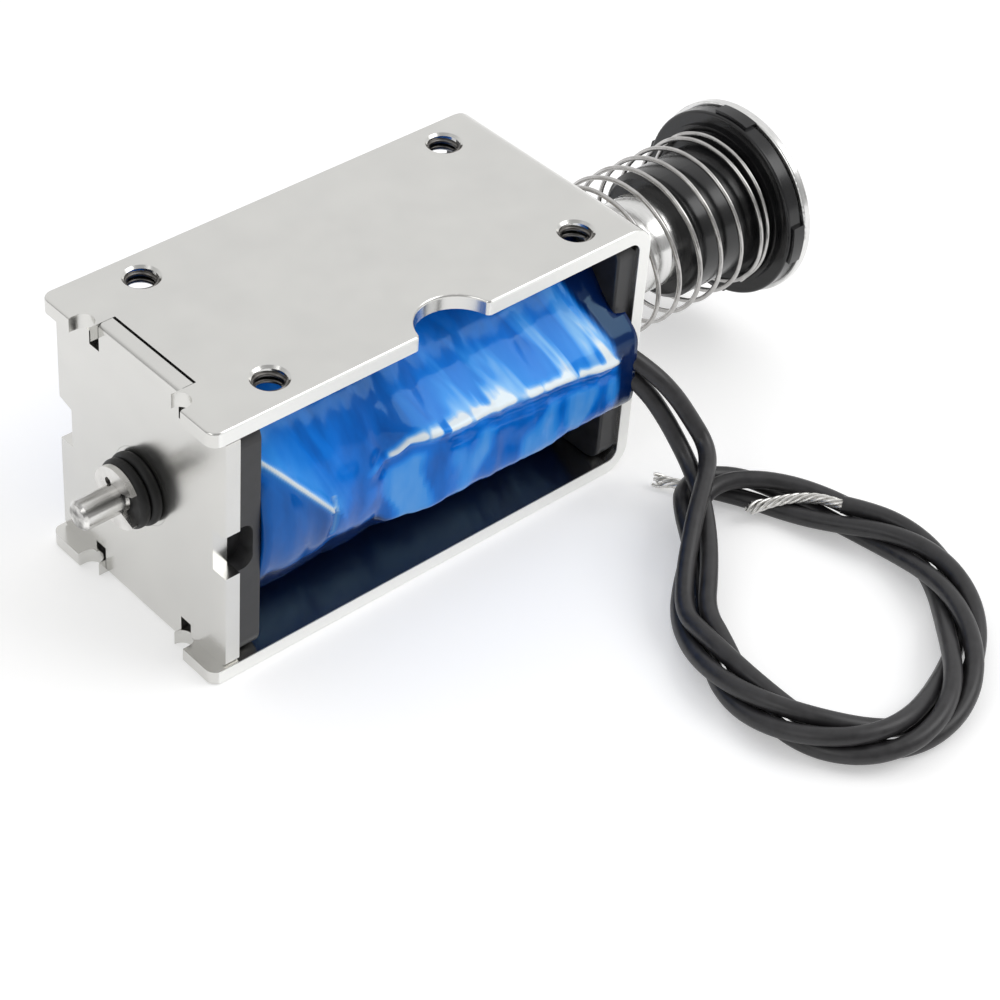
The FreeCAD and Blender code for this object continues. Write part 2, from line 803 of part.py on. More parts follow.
def make_spring_seat():
    """Moulded sleeve and flange on the plunger, which the return spring pushes."""
    body = new_body("spring_seat", raised=True)
    socket = size.plunger_radius + size.fit_gap
    bore = size.spigot_radius + size.fit_gap
    shoulder = seat_start + size.seat_socket
    step_face = flange_face - size.seat_step
    collar = step_face - size.collar_length
    turn(body, "seat_blank", [
        (seat_start, socket),
        (seat_start, size.seat_radius - size.seat_nose),
        (seat_start + size.seat_nose, size.seat_radius),
        (collar, size.seat_radius),
        (collar, size.collar_radius),
        (step_face, size.collar_radius),
        (step_face, size.seat_step_radius),
        (flange_face, size.seat_step_radius),
        (flange_face, size.seat_flange_radius),
        (disc_face, size.seat_flange_radius),
        (disc_face, bore),
        (shoulder, bore),
        (shoulder, socket),
    ])

    def flange_rim(edge):
        return rim(edge, flange_face, size.seat_flange_radius) or rim(edge, disc_face, size.seat_flange_radius)

    soften(body, "seat_rims", flange_rim, size.seat_flange_round)
    # Low lugs on the flange's rim, flush with the disc behind them
    lug_start = flange_face + size.lug_setback
    lug_inside = size.seat_flange_radius - size.seat_flange_round * 2
    lug = turn(body, "lug", box_corners(lug_start, lug_inside, disc_face, size.disc_radius))
    lug.Angle = LUG_ANGLE
    lug.Midplane = True
    doc.recompute()
    lugs = body.newObject("PartDesign::PolarPattern", "lugs")
    lugs.Originals = [lug]
    lugs.Axis = (origin_part(body, "X_Axis"), [""])
    lugs.Angle = 360
    lugs.Occurrences = LUG_COUNT
    body.Tip = lugs


def make_cap_disc():
    """Steel disc behind the seat's flange."""
    body = new_body("cap_disc", raised=True)
    bore = size.spigot_radius + size.fit_gap
    turn(body, "disc_blank", box_corners(disc_face, bore, head_face, size.disc_radius))

    def disc_rim(edge):
        return rim(edge, disc_face, size.disc_radius) or rim(edge, head_face, size.disc_radius)

    soften(body, "disc_rims", disc_rim, size.disc_round)


def rounded_path(points, closed=False):
    """Straight runs joined by tangent arcs, as large as the two runs at each point allow."""
    points = [Vector(*point) for point in points]
    total = len(points)
    corners = range(total) if closed else range(1, total - 1)
    arcs = {}
    radii = []
    for index in corners:
        before, here, after = points[index - 1], points[index], points[(index + 1) % total]
        back, on = before - here, after - here
        reach = 0.45 * min(back.Length, on.Length)
        half_turn = (math.pi - back.getAngle(on)) / 2
        radius = reach / math.tan(half_turn)
        back.normalize()
        on.normalize()
        middle = back + on
        middle.normalize()
        depth = radius / math.cos(half_turn) - radius
        arcs[index] = (here + back * reach, here + middle * depth, here + on * reach)
        radii.append(radius)
    edges = []
    place = arcs[total - 1][2] if closed else points[0]
    for index in (range(total) if closed else range(1, total)):
        if index in arcs:
            start, middle, end = arcs[index]
            edges.append(Part.LineSegment(place, start).toShape())
            edges.append(Part.Arc(start, middle, end).toShape())
            place = end
        else:
            edges.append(Part.LineSegment(place, points[index]).toShape())
    return Part.Wire(edges), radii


def sweep_tube(points, radius, closed=False):
    """A round tube solid along a rounded path, with the path's length and radii."""
    path, radii = rounded_path(points, closed)
    first = path.Edges[0]
    start = first.valueAt(first.FirstParameter)
    heading = first.tangentAt(first.FirstParameter)
    section = Part.Wire([Part.Circle(start, heading, radius).toShape()])
    tube = path.makePipeShell([section], True, False)
    wanted = math.pi * radius ** 2 * path.Length
    if abs(tube.Volume / wanted - 1) > NEAR:
        raise ValueError(f"a tube of volume {tube.Volume:.1f} isn't whole")
    return tube, path.Length, radii


def make_cord(name, points, radius, closed=False):
    """A length of cord, with its length and radii printed."""
    tube, length, radii = sweep_tube(points, radius, closed)
    new_feature(name, tube)
    print(f"{name}: length {length:.1f}, radii", " ".join(f"{value:.1f}" for value in radii))


def make_return_spring():
    """Compression spring with a closed turn at each end, between the wall and the seat."""
    wire = size.wire_radius.value
    start = wall_outer.value + size.spring_gap.value + wire
    end = flange_face.value - size.seat_step.value - size.spring_gap.value - wire
    closed = size.closed_pitch.value
    turns = size.open_turns.value
    steps = 12
    blend = 0.25
    # The tube's arcs touch the middle of each run, so the corners lie a little further out
    corner_radius = size.spring_radius.value / math.cos(math.pi / steps)

    def rise(turn):
        """Share of the open pitch at a turn, from 0 in the closed turns to 1."""
        into = min(turn - 1, turns + 1 - turn)
        return min(1.0, max(0.0, into / blend + 0.5))

    count = round((turns + 2) * steps)
    shares = [rise((index + 0.5) / steps) for index in range(count)]
    open_pitch = closed + (end - start - closed * count / steps) * steps / sum(shares)
    place = start
    points = []
    for index in range(count + 1):
        angle = math.radians(size.spring_start.value) + 2 * math.pi * index / steps
        points.append(Vector(place, corner_radius * math.cos(angle), corner_radius * math.sin(angle)))
        if index < count:
            place += (closed + (open_pitch - closed) * shares[index]) / steps
    spring, _, _ = sweep_tube(points, wire)
    new_feature("return_spring", spring, axis_height)


def make_leads():
    """The two free leads, the loop they lie in and their stripped ends."""
    radius = lead_radius.value
    make_cord("lead_1", LEAD_1_ROUTE, radius)
    make_cord("lead_2", LEAD_2_ROUTE, radius)
    height = size.hank_radius.value + size.fit_gap.value
    make_cord("lead_hank", [(x, y, height) for x, y in HANK_ROUTE], size.hank_radius.value, closed=True)
    for number, (start, tip) in enumerate(BARE_ROUTES, 1):
        start, tip = Vector(*start), Vector(*tip)
        reach = tip - start
        new_feature(f"bare_end_{number}", Part.makeCylinder(size.bare_radius.value, reach.Length, start, reach))


make_frame()
make_end_plate()
make_bobbin()
make_winding()
make_coil_tape()
make_joint_sleeves()
make_guide_tube()
make_pole_piece()
make_gap_washer()
make_plunger()
make_push_rod()
make_retaining_ring()
make_bumper_rings()
make_spring_seat()
make_cap_disc()
make_return_spring()
make_leads()
doc.recompute()

for item in doc.Objects:
    if "Invalid" in item.State or "Error" in item.State:
        raise ValueError(f"{item.Name}: {item.State}")
os.makedirs("parts", exist_ok=True)
for part in parts:
    if part.Shape.isNull() or not part.Shape.isValid() or len(part.Shape.Solids) != 1:
        raise ValueError(f"{part.Label}: no single valid solid")
    part.Shape.exportStep(f"parts/{part.Label}.step")
    box = part.Shape.BoundBox
    print(f"{part.Label}: {part.Shape.Volume:.1f} mm3, x {box.XMin:.2f} to {box.XMax:.2f},",
          f"y {box.YMin:.2f} to {box.YMax:.2f}, z {box.ZMin:.2f} to {box.ZMax:.2f}")
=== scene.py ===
# %% [markdown]
# Push pull solenoid: a taped coil in a folded steel frame, a plunger with a sprung cap, and a
# push rod through the fixed end. This lesson dresses the finished CAD model for a picture.
# The rigid pieces are already right in the CAD, so they keep their shape and get a good
# finish. The soft and the fine things are modelled here: the two leads with their loop and
# stripped ends, the wrinkled tape round the coil and the threads in the mounting holes.
# X runs along the plunger, with the sprung cap at +X. The leads are at the front, -Y.

# %% Load the frame
import json
import math
from types import SimpleNamespace

import bpy
import mathutils.noise
from mathutils import Matrix, Vector


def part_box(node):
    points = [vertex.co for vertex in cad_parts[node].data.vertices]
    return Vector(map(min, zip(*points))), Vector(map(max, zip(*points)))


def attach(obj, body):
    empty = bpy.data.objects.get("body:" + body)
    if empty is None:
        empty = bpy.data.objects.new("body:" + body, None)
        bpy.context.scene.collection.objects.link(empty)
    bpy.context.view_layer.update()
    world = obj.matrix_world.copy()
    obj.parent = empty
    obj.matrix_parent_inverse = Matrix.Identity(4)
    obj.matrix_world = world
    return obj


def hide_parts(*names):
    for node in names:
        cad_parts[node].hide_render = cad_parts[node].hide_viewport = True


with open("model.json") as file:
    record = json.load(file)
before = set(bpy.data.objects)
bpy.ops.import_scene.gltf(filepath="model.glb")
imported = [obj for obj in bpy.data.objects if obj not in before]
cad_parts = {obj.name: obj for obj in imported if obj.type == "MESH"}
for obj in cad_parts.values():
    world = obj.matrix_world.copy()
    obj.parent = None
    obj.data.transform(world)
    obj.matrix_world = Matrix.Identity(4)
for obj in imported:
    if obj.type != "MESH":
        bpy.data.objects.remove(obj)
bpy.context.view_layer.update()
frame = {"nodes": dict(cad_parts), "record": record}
MM = 0.001
AXIS_HEIGHT = 15.0 * MM


def in_mm(place):
    """A place in rounded millimetres, for the messages."""
    return [round(value / MM, 1) for value in place]


# %% [markdown]
# The camera stands in front, to the left and above, as it did for the photograph. Its place
# and turn were worked out from the corners of the steel frame. The object wasn't in the
# middle of that picture, and a lens shift moves it there without turning the camera.

# %% Camera
CAMERA_PLACE = Vector((-136.733, -157.327, 179.194)) * MM
CAMERA_RIGHT = Vector((0.76933, -0.63819, 0.02916))
CAMERA_UP = Vector((0.37762, 0.49109, 0.78501))
CAMERA_LENS = 98.92
CAMERA_SHIFT = (0.1509, -0.1164)
SENSOR = 36.0

data = bpy.data.cameras.new("camera")
data.lens = CAMERA_LENS
data.sensor_width = SENSOR
data.shift_x, data.shift_y = CAMERA_SHIFT
data.clip_start = 0.01
data.clip_end = 10.0
camera = bpy.data.objects.new("camera", data)
bpy.context.scene.collection.objects.link(camera)
camera_turn = Matrix((CAMERA_RIGHT, CAMERA_UP, CAMERA_RIGHT.cross(CAMERA_UP))).transposed()
camera.matrix_world = Matrix.Translation(CAMERA_PLACE) @ camera_turn.to_4x4()
bpy.context.scene.camera = camera
print("camera at", in_mm(camera.location), "mm, lens", camera.data.lens)

# %% [markdown]
# Two black leads come out from under the tape, bend down to the table and lie in a loop that
# each goes round nearly twice. The strands of that loop are laid round each other like a
# loose rope.
# A lead could be a bent pipe of arcs, but it would look like wire. A NURBS curve with a few
# control points hangs and lies as a flexible lead does. The first points of each lead are
# the route that the CAD has, and the others are given here: lead 1 passes over lead 2 on
# its way to the loop. The loop has a route of its own, for the middle of the rope.

# %% Routes of the leads and of the loop, in metres
LEAD_1_ROUTE = [
    (0.0238, -0.0140, 0.0159),
    (0.0251, -0.0162, 0.0146),
    (0.0265, -0.0184, 0.0123),
    (0.0277, -0.0200, 0.0094),
    (0.0281, -0.0213, 0.0078),
    (0.0274, -0.0228, 0.0070),
    (0.0257, -0.0243, 0.0067),
    (0.0234, -0.0259, 0.0065),
    (0.0209, -0.0276, 0.0061),
    (0.0184, -0.0295, 0.0054),
    (0.0156, -0.0317, 0.0044),
]
LEAD_2_ROUTE = [
    (0.0238, -0.0140, 0.0139),
    (0.0249, -0.0162, 0.0121),
    (0.0258, -0.0180, 0.0096),
    (0.0264, -0.0194, 0.0074),
    (0.0263, -0.0214, 0.0057),
    (0.0250, -0.0243, 0.0048),
    (0.0229, -0.0273, 0.0045),
    (0.0203, -0.0303, 0.0043),
    (0.0175, -0.0331, 0.0040),
]
LOOP_ROUTE = [
    (0.0255, -0.0219),
    (0.0202, -0.0263),
    (0.0152, -0.0319),
    (0.0117, -0.0388),
    (0.0098, -0.0453),
    (0.0107, -0.0516),
    (0.0140, -0.0566),
    (0.0193, -0.0585),
    (0.0260, -0.0570),
    (0.0322, -0.0526),
    (0.0364, -0.0474),
    (0.0379, -0.0422),
    (0.0374, -0.0370),
    (0.0352, -0.0320),
    (0.0330, -0.0274),
    (0.0299, -0.0229),
]
print("points in the routes:", len(LEAD_1_ROUTE), len(LEAD_2_ROUTE), len(LOOP_ROUTE))

# %% [markdown]
# Everything along a lead follows its curve, so two helpers come first. One makes the curve.
# The other reads the points along it, which say where the curve is at a share of its length.
# A spline forgets its order when points are added, so the order is set after them.

# %% Curves, and the points along them
def add_spline(curve_data, points, closed=False):
    """Add a smooth line to a curve, with the points as its control points."""
    spline = curve_data.splines.new("NURBS")
    spline.points.add(len(points) - 1)
    for point, place in zip(spline.points, points):
        point.co = (*place, 1)
    spline.order_u = 3
    spline.use_cyclic_u = closed
    spline.use_endpoint_u = not closed


def nurbs_curve(name, points, closed=False):
    """A curve object of one smooth line, with no thickness."""
    curve_data = bpy.data.curves.new(name, "CURVE")
    curve_data.dimensions = "3D"
    curve_data.resolution_u = 8
    add_spline(curve_data, points, closed)
    curve = bpy.data.objects.new(name, curve_data)
    bpy.context.scene.collection.objects.link(curve)
    return curve


class Line:
    """The points along a curve with no thickness, read by the share of their length."""

    def __init__(self, curve, closed=False):
        mesh = bpy.data.meshes.new_from_object(curve)
        self.points = [vertex.co.copy() for vertex in mesh.vertices]
        bpy.data.meshes.remove(mesh)
        if closed:
            self.points.append(self.points[0])
        self.reached = [0.0]
        for before, after in zip(self.points, self.points[1:]):
            self.reached.append(self.reached[-1] + (after - before).length)
        self.length = self.reached[-1]

    def at(self, share):
        """The place and the heading at a share of the length, 0 to 1."""
        wanted = share * self.length
        index = 0
        while index < len(self.points) - 2 and self.reached[index + 1] < wanted:
            index += 1
        before, after = self.points[index], self.points[index + 1]
        into = (wanted - self.reached[index]) / (after - before).length
        return before.lerp(after, into), (after - before).normalized()


# %% Middle of the rope
ROPE_HEIGHT = 2.25 * MM

loop_curve = nurbs_curve("loop_middle", [(x, y, ROPE_HEIGHT) for x, y in LOOP_ROUTE], closed=True)
loop_line = Line(loop_curve, closed=True)
bpy.data.objects.remove(loop_curve)
print("middle of the loop:", round(loop_line.length / MM, 1), "mm a turn, starts at",
      in_mm(loop_line.at(0)[0]))

# %% [markdown]
# A strand winds round the middle of the rope while it goes along it. With two and a half
# twists in a turn, a lead's second turn lies just opposite its first one. The other lead is a
# quarter twist away, so the four strands fill the rope evenly and don't run into each other.

# %% Control points of a strand
ROPE_ACROSS = 1.6 * MM
ROPE_UP = 1.3 * MM
TWISTS_PER_TURN = 2.5
POINTS_PER_TWIST = 12
UP = Vector((0, 0, 1))


def strand_points(first_turn, last_turn, phase):
    """Control points of one strand of the rope, from and to a number of turns of the loop."""
    steps = round((last_turn - first_turn) * TWISTS_PER_TURN * POINTS_PER_TWIST)
    points = []
    for number in range(steps + 1):
        turns = first_turn + (last_turn - first_turn) * number / steps
        middle, heading = loop_line.at(turns % 1.0)
        outwards = heading.cross(UP).normalized()
        angle = math.radians(phase) + 2 * math.pi * TWISTS_PER_TURN * turns
        across = outwards * ROPE_ACROSS * math.cos(angle)
        points.append(middle + across + UP * (ROPE_UP * math.sin(angle)))
    return points


print("control points in one turn:", len(strand_points(0.0, 1.0, 0.0)))

# %% [markdown]
# The curve gets its thickness from the radius of its points, and the bevel only takes it as
# it is. Set the other way round, with a thin bevel and points of radius 1, the lead would
# look the same, but Blender would measure it as a metre wide.

# %% The two leads
LEAD_RADIUS = 0.9 * MM


def make_lead(name, route, first_turn, last_turn, phase):
    """A lead, which is its free stretch and then its turns of the loop, and the line it follows."""
    points = [Vector(place) for place in route] + strand_points(first_turn, last_turn, phase)
    lead = nurbs_curve(name, points)
    line = Line(lead)
    for point in lead.data.splines[0].points:
        point.radius = LEAD_RADIUS
    lead.data.bevel_depth = 1.0
    lead.data.bevel_resolution = 5
    lead.data.use_fill_caps = True
    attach(lead, "housing")
    print(name, "is", round(line.length / MM, 1), "mm long and ends at", in_mm(line.points[-1]))
    return lead, line


lead_1, lead_1_line = make_lead("lead_1_insulation", LEAD_1_ROUTE, 0.15, 1.80, -89.0)
lead_2, lead_2_line = make_lead("lead_2_insulation", LEAD_2_ROUTE, 0.15, 1.93, 1.0)

# %% [markdown]
# The end of each lead is stripped, over 16 and 12 mm. It shows seven tinned strands that are
# laid together: one in the middle and six round it. They aren't soldered, so their tips spread
# a little. Each strand is a thin curve that winds round the stripped end's own middle line, and
# the seven become one mesh, because they are one piece of wire.

# %% Control points of the wire's strands
STRAND_RADIUS = 0.19 * MM
STRAND_SPACING = 2.0 * STRAND_RADIUS
STRAND_TWIST = 5.5 * MM
STRANDS_ROUND = 6
STRAND_STEPS = 40
FRAY = 0.22 * MM
FRAY_FROM = 0.86
POINTS_INSIDE = 12


def wire_strand(middle, strand):
    """Control points of one strand of a stripped end. The last strand is the middle one."""
    points = []
    for number in range(STRAND_STEPS + 1):
        share = number / STRAND_STEPS
        place, heading = middle.at(share)
        level = heading.cross(UP).normalized()
        up = level.cross(heading)
        angle = 2 * math.pi * (strand / STRANDS_ROUND + share * middle.length / STRAND_TWIST)
        away = 0.0 if strand == STRANDS_ROUND else STRAND_SPACING
        away += FRAY * max(0.0, share - FRAY_FROM) / (1.0 - FRAY_FROM) * (1.0 + math.sin(5.0 * strand))
        points.append(place + (level * math.cos(angle) + up * math.sin(angle)) * away)
    return points[:STRAND_STEPS + 1 - strand % 3]


print("wire:", STRANDS_ROUND + 1, "strands of", round(2 * STRAND_RADIUS / MM, 2), "mm")

# %% The stripped ends
def make_stripped_end(name, lead_line, tail):
    """Seven strands that go on from a lead's last points along a tail of given points."""
    start = [lead_line.points[-POINTS_INSIDE], lead_line.points[-1]]
    middle_curve = nurbs_curve(name + "_middle", start + [Vector(place) for place in tail])
    middle = Line(middle_curve)
    bpy.data.objects.remove(middle_curve)
    bare = nurbs_curve(name, wire_strand(middle, 0))
    for strand in range(1, STRANDS_ROUND + 1):
        add_spline(bare.data, wire_strand(middle, strand))
    bare.data.resolution_u = 3
    bare.data.bevel_depth = STRAND_RADIUS
    bare.data.bevel_resolution = 3
    bare.data.use_fill_caps = True
    bpy.ops.object.select_all(action="DESELECT")
    bare.select_set(True)
    bpy.context.view_layer.objects.active = bare
    bpy.ops.object.convert(target="MESH")
    bpy.ops.object.shade_smooth()
    bare = bpy.context.object
    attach(bare, "housing")
    print(name, "is", round(middle.length / MM, 1), "mm long, with", len(bare.data.polygons), "faces")
    return bare


bare_1 = make_stripped_end("bare_end_strands_1", lead_1_line, [
    (0.0349, -0.0305, 0.0030),
    (0.0322, -0.0283, 0.0025),
    (0.0296, -0.0267, 0.0015),
])
bare_2 = make_stripped_end("bare_end_strands_2", lead_2_line, [
    (0.0283, -0.0212, 0.0012),
    (0.0274, -0.0190, 0.0009),
    (0.0262, -0.0172, 0.0009),
])

# %% [markdown]
# The new pieces take the place of the plain rods and the ring that the CAD has for the leads.
# Each lead is a free cord with a bare far end, and its stripped end moves with it.

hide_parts("bare_end_1")
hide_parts("bare_end_2")
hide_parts("lead_1", "lead_hank")
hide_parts("lead_2")
print("cords:", lead_1.name, lead_2.name)

# %% [markdown]
# Blue polyester tape is wound round the coil, and a pad of it covers the joints of the leads.
# In the CAD its surface is smooth. The real tape lies in shallow folds that run round the
# coil, it has a sharp crest where it is drawn over the pad, and a fold where its free corner
# was tucked in at the left. A fine grid is the way to such a skin: a tube of quads outside
# the coil is drawn in on to the CAD surface, and its points are then moved in or out.

# %% Selecting and applying
def select_only(thing):
    """Select one piece and make it the active one."""
    bpy.ops.object.select_all(action="DESELECT")
    thing.select_set(True)
    bpy.context.view_layer.objects.active = thing


def apply_all(thing):
    """Apply a piece's modifiers, from the first to the last."""
    select_only(thing)
    for modifier in list(thing.modifiers):
        bpy.ops.object.modifier_apply(modifier=modifier.name)


def select_parts(thing, kind, chosen):
    """Select the vertices or edges of a mesh that the function chooses, and nothing else."""
    bpy.ops.object.mode_set(mode="EDIT")
    bpy.ops.mesh.select_mode(type=kind)
    bpy.ops.mesh.select_all(action="DESELECT")
    bpy.ops.object.mode_set(mode="OBJECT")
    for part in thing.data.vertices if kind == "VERT" else thing.data.edges:
        part.select = chosen(part)
    bpy.ops.object.mode_set(mode="EDIT")


# %% A tube of quads outside the coil
TAPE_LOW, TAPE_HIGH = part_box("coil_tape")
TAPE_OUTSIDE = 17.5 * MM
TAPE_COLUMNS = 256
TAPE_CUTS = 100
INSET = 0.02 * MM

bpy.ops.object.select_all(action="DESELECT")
bpy.ops.mesh.primitive_cylinder_add(
    vertices=TAPE_COLUMNS, radius=TAPE_OUTSIDE, end_fill_type="NOTHING",
    depth=TAPE_HIGH[0] - TAPE_LOW[0] - 2 * INSET,
    location=((TAPE_LOW[0] + TAPE_HIGH[0]) / 2, 0, AXIS_HEIGHT), rotation=(0, math.pi / 2, 0))
tape = bpy.context.object
tape.name = "wrinkled_tape"
bpy.ops.object.transform_apply(location=True, rotation=True, scale=True)
corners = [vertex.co.copy() for vertex in tape.data.vertices]
select_parts(tape, "EDGE", lambda edge: abs(corners[edge.vertices[0]].x - corners[edge.vertices[1]].x) > MM)
bpy.ops.mesh.subdivide(number_cuts=TAPE_CUTS)
bpy.ops.object.mode_set(mode="OBJECT")
print("tube of", len(tape.data.polygons), "quads")

# %% [markdown]
# A Shrinkwrap modifier draws the tube in. The pad reaches further to the right than the rest
# of the coil, so some of the tube's last points find nothing under them. Those just past the
# coil's end are brought back to it, and the others are deleted. The two rows at the left are
# put at the winding's end, a hair apart, so that each can be found again later. A little
# smoothing rounds the pad's corners, as a film does that is drawn over them.

# %% Draw the tube in on to the CAD surface
TAPE_RADIUS = 13.1 * MM
BEYOND_TAPE = 16.8 * MM
COIL_END = 22.58 * MM
ROW = 0.45 * MM

wrap = tape.modifiers.new("draw_in", "SHRINKWRAP")
wrap.target = frame["nodes"]["coil_tape"]
wrap.wrap_method = "PROJECT"
wrap.use_negative_direction = True
wrap.use_positive_direction = False
apply_all(tape)
for point in tape.data.vertices:
    away = Vector((0, point.co.y, point.co.z - AXIS_HEIGHT))
    if away.length > BEYOND_TAPE and point.co.x < COIL_END + ROW:
        point.co = Vector((COIL_END, 0, AXIS_HEIGHT)) + away.normalized() * TAPE_RADIUS
first_row = min(point.co.x for point in tape.data.vertices)
for point in tape.data.vertices:
    if point.co.x < first_row + 0.5 * ROW:
        point.co.x = TAPE_LOW[0] - 2 * INSET
    elif point.co.x < first_row + 1.5 * ROW:
        point.co.x = TAPE_LOW[0] - INSET
select_parts(tape, "VERT", lambda point: math.hypot(point.co.y, point.co.z - AXIS_HEIGHT) > BEYOND_TAPE)
bpy.ops.mesh.delete(type="VERT")
bpy.ops.object.mode_set(mode="OBJECT")
even = tape.modifiers.new("even", "SMOOTH")
even.iterations = 6
even.use_x = False
apply_all(tape)
print("drawn in:", len(tape.data.vertices), "corners")

# %% [markdown]
# A place on the tape is written as millimetres along the coil and millimetres up round it
# from the foremost line. Each fold follows a line of such places: the crest over the pad, the
# crease and the edge of the tucked corner, and the free edge at the right. A few helpers say
# how far a place is from a line, and turn a distance into a share from 0 to 1.

# %% Lines of the folds
CREST = [
    (-8.5, 1.6), (-6.8, 2.6), (-5.6, 3.0), (-4.6, 3.8), (-1.0, 3.7),
    (4.0, 3.5), (9.0, 3.3), (14.0, 2.8), (21.5, 1.7),
]
FLAP_CREASE = [(-20.8, 8.9), (-12.8, -0.3)]
FLAP_EDGE = [(-12.9, 1.0), (-12.4, -1.2), (-12.5, -3.6)]
FREE_EDGE = [
    (16.0, 20.0), (17.0, 14.5), (18.6, 9.5), (20.4, 4.2),
    (21.4, 1.2), (21.7, -1.5), (21.2, -5.0),
]


def place_on_tape(point):
    """Where a point is along the coil and round it, in millimetres."""
    return point.x / MM, math.atan2(point.z - AXIS_HEIGHT, -point.y) * TAPE_RADIUS / MM


def beside(along, round_coil, line):
    """How far a place is from a line, and on which side: above it is more than 0."""
    nearest, side = 1e9, 1
    for (x0, s0), (x1, s1) in zip(line, line[1:]):
        dx, ds = x1 - x0, s1 - s0
        share = min(1.0, max(0.0, ((along - x0) * dx + (round_coil - s0) * ds) / (dx * dx + ds * ds)))
        away = math.hypot(along - x0 - share * dx, round_coil - s0 - share * ds)
        if away < nearest:
            nearest = away
            side = 1 if dx * (round_coil - s0) - ds * (along - x0) > 0 else -1
    return nearest * side


def bell(value, width):
    """1 where the value is 0, and less the further it is from there."""
    return math.exp(-(value / width) ** 2)


def step(value, width):
    """From 0 to 1 as the value passes 0, over the width."""
    return 0.5 + 0.5 * math.tanh(2.0 * value / width)


def wave(along, round_coil, wide, long, seed):
    """Smooth noise from -1 to 1 whose lumps are so wide along the coil and so long round it."""
    angle = round_coil * MM / TAPE_RADIUS
    reach = TAPE_RADIUS / MM / long
    place = Vector((along / wide + seed, reach * math.cos(angle), reach * math.sin(angle)))
    return mathutils.noise.noise(place)


print("a bell of width 1, at 0, 1 and 2:", [round(bell(value, 1), 2) for value in (0, 1, 2)])
print("a step of width 1, at -1, 0 and 1:", [round(step(value, 1), 2) for value in (-1, 0, 1)])

# %% [markdown]
# A sharp fold needs more points across it than the shallow ones do. The grid is made twice as
# fine along the sharp ones only, because twice as fine everywhere would cost four times as much.

# %% A finer grid along the sharp folds
FINE = 1.1
CREST_FROM = -9.5
FLAP_TO = -11.5


def is_sharp(edge):
    """Whether an edge of the grid starts close to the crest, the crease or the corner's edge."""
    along, round_coil = place_on_tape(tape.data.vertices[edge.vertices[0]].co)
    near_crest = along > CREST_FROM and abs(beside(along, round_coil, CREST)) < FINE
    near_crease = along < FLAP_TO and abs(beside(along, round_coil, FLAP_CREASE)) < FINE
    near_edge = abs(beside(along, round_coil, FLAP_EDGE)) < FINE / 2
    return near_crest or near_crease or near_edge


select_parts(tape, "EDGE", is_sharp)
bpy.ops.mesh.subdivide(number_cuts=1)
bpy.ops.object.mode_set(mode="OBJECT")
print("tape grid:", len(tape.data.vertices), "corners")

# %% [markdown]
# The folds and the colour of the film both depend on where a place is, so this is worked out
# once for each place: its distances to the lines, and how much of it belongs to each zone.

# %% Zones of the tape
RIDGE_FROM, RIDGE_TO = -7.5, 22.0
LAYER_FROM, LAYER_TO = -6.0, 20.0
UNDERSIDE_FROM, UNDERSIDE_TO = -32.0, -5.2
FRONT_FROM = -20.0
RAGGED = 0.8
CREST_FOOT = 0.9


def zones_at(along, round_coil):
    """The distances to the fold lines in millimetres, and a share from 0 to 1 for each zone."""
    crest = beside(along, round_coil, CREST)
    free = beside(along, round_coil, FREE_EDGE)
    in_front = step(round_coil - FRONT_FROM, 6.0)
    on_ridge = step(along - RIDGE_FROM, 2.0) * step(RIDGE_TO - along, 1.0)
    ragged = RAGGED * wave(along, 0, 2.5, 30, 9.9)
    return SimpleNamespace(
        crest=crest,
        crease=beside(along, round_coil, FLAP_CREASE),
        flap_edge=beside(along, round_coil, FLAP_EDGE),
        in_front=in_front,
        on_ridge=on_ridge,
        before_free=step(-free, 0.5) if LAYER_FROM < round_coil < LAYER_TO else 1.0,
        # the underside gets painted shade, deep blue
        painted_bottom_shade=step(UNDERSIDE_TO - round_coil + ragged, 0.5) * step(round_coil - UNDERSIDE_FROM, 5.0),
        below=step(-crest - CREST_FOOT, 0.5) * on_ridge * in_front)


print("at the crest:", {name: round(value, 2) for name, value in vars(zones_at(4.0, 3.5)).items()})

# %% [markdown]
# The lifts of the folds add up. Two waves make shallow wrinkles all over. The crest and the
# crease are narrow bells, and a hollow runs below the crest. The corner's edge is a small
# step down, and past the free edge only the lower layer of tape is left. Below the ridge,
# the film is finely crinkled.

# %% How far the film is lifted, in millimetres
WRINKLES = (
    # height, width along the coil, length round it, seed
    (0.34, 3.2, 16.0, 3.1),
    (0.15, 1.3, 9.0, 8.4),
)
CREST_LIFT, CREST_WIDTH, CREST_UNEVEN = 0.42, 0.42, 0.2
HOLLOW, HOLLOW_WIDTH, HOLLOW_PLACE = 0.25, 0.6, 1.1
CREASE_LIFT, CREASE_WIDTH = 0.42, 0.38
EDGE_DROP, EDGE_WIDTH = 0.40, 0.22
UPPER_LAYER, LAYER_DROP = 0.12, 0.25
CRINKLES = 0.10
LOWEST = -0.15


def lift_at(along, round_coil, zone):
    """How far the folds lift the film out of the smooth surface at a place."""
    lift = 0.0
    for height, wide, long, seed in WRINKLES:
        lift += height * wave(along, round_coil, wide, long, seed)
    uneven_crest = CREST_LIFT + CREST_UNEVEN * wave(along, 0, 1.6, 30, 5.5)
    lift += zone.on_ridge * uneven_crest * bell(zone.crest, CREST_WIDTH)
    lift -= zone.on_ridge * HOLLOW * bell(zone.crest + HOLLOW_PLACE, HOLLOW_WIDTH)
    lift += CREASE_LIFT * bell(zone.crease, CREASE_WIDTH) * step(-7.0 - along, 3.0)
    lift -= EDGE_DROP * bell(zone.flap_edge, EDGE_WIDTH)
    lift += UPPER_LAYER - LAYER_DROP * (1.0 - zone.before_free)
    lift += zone.below * CRINKLES * wave(along, round_coil, 0.9, 2.2, 1.7)
    return max(lift, LOWEST)


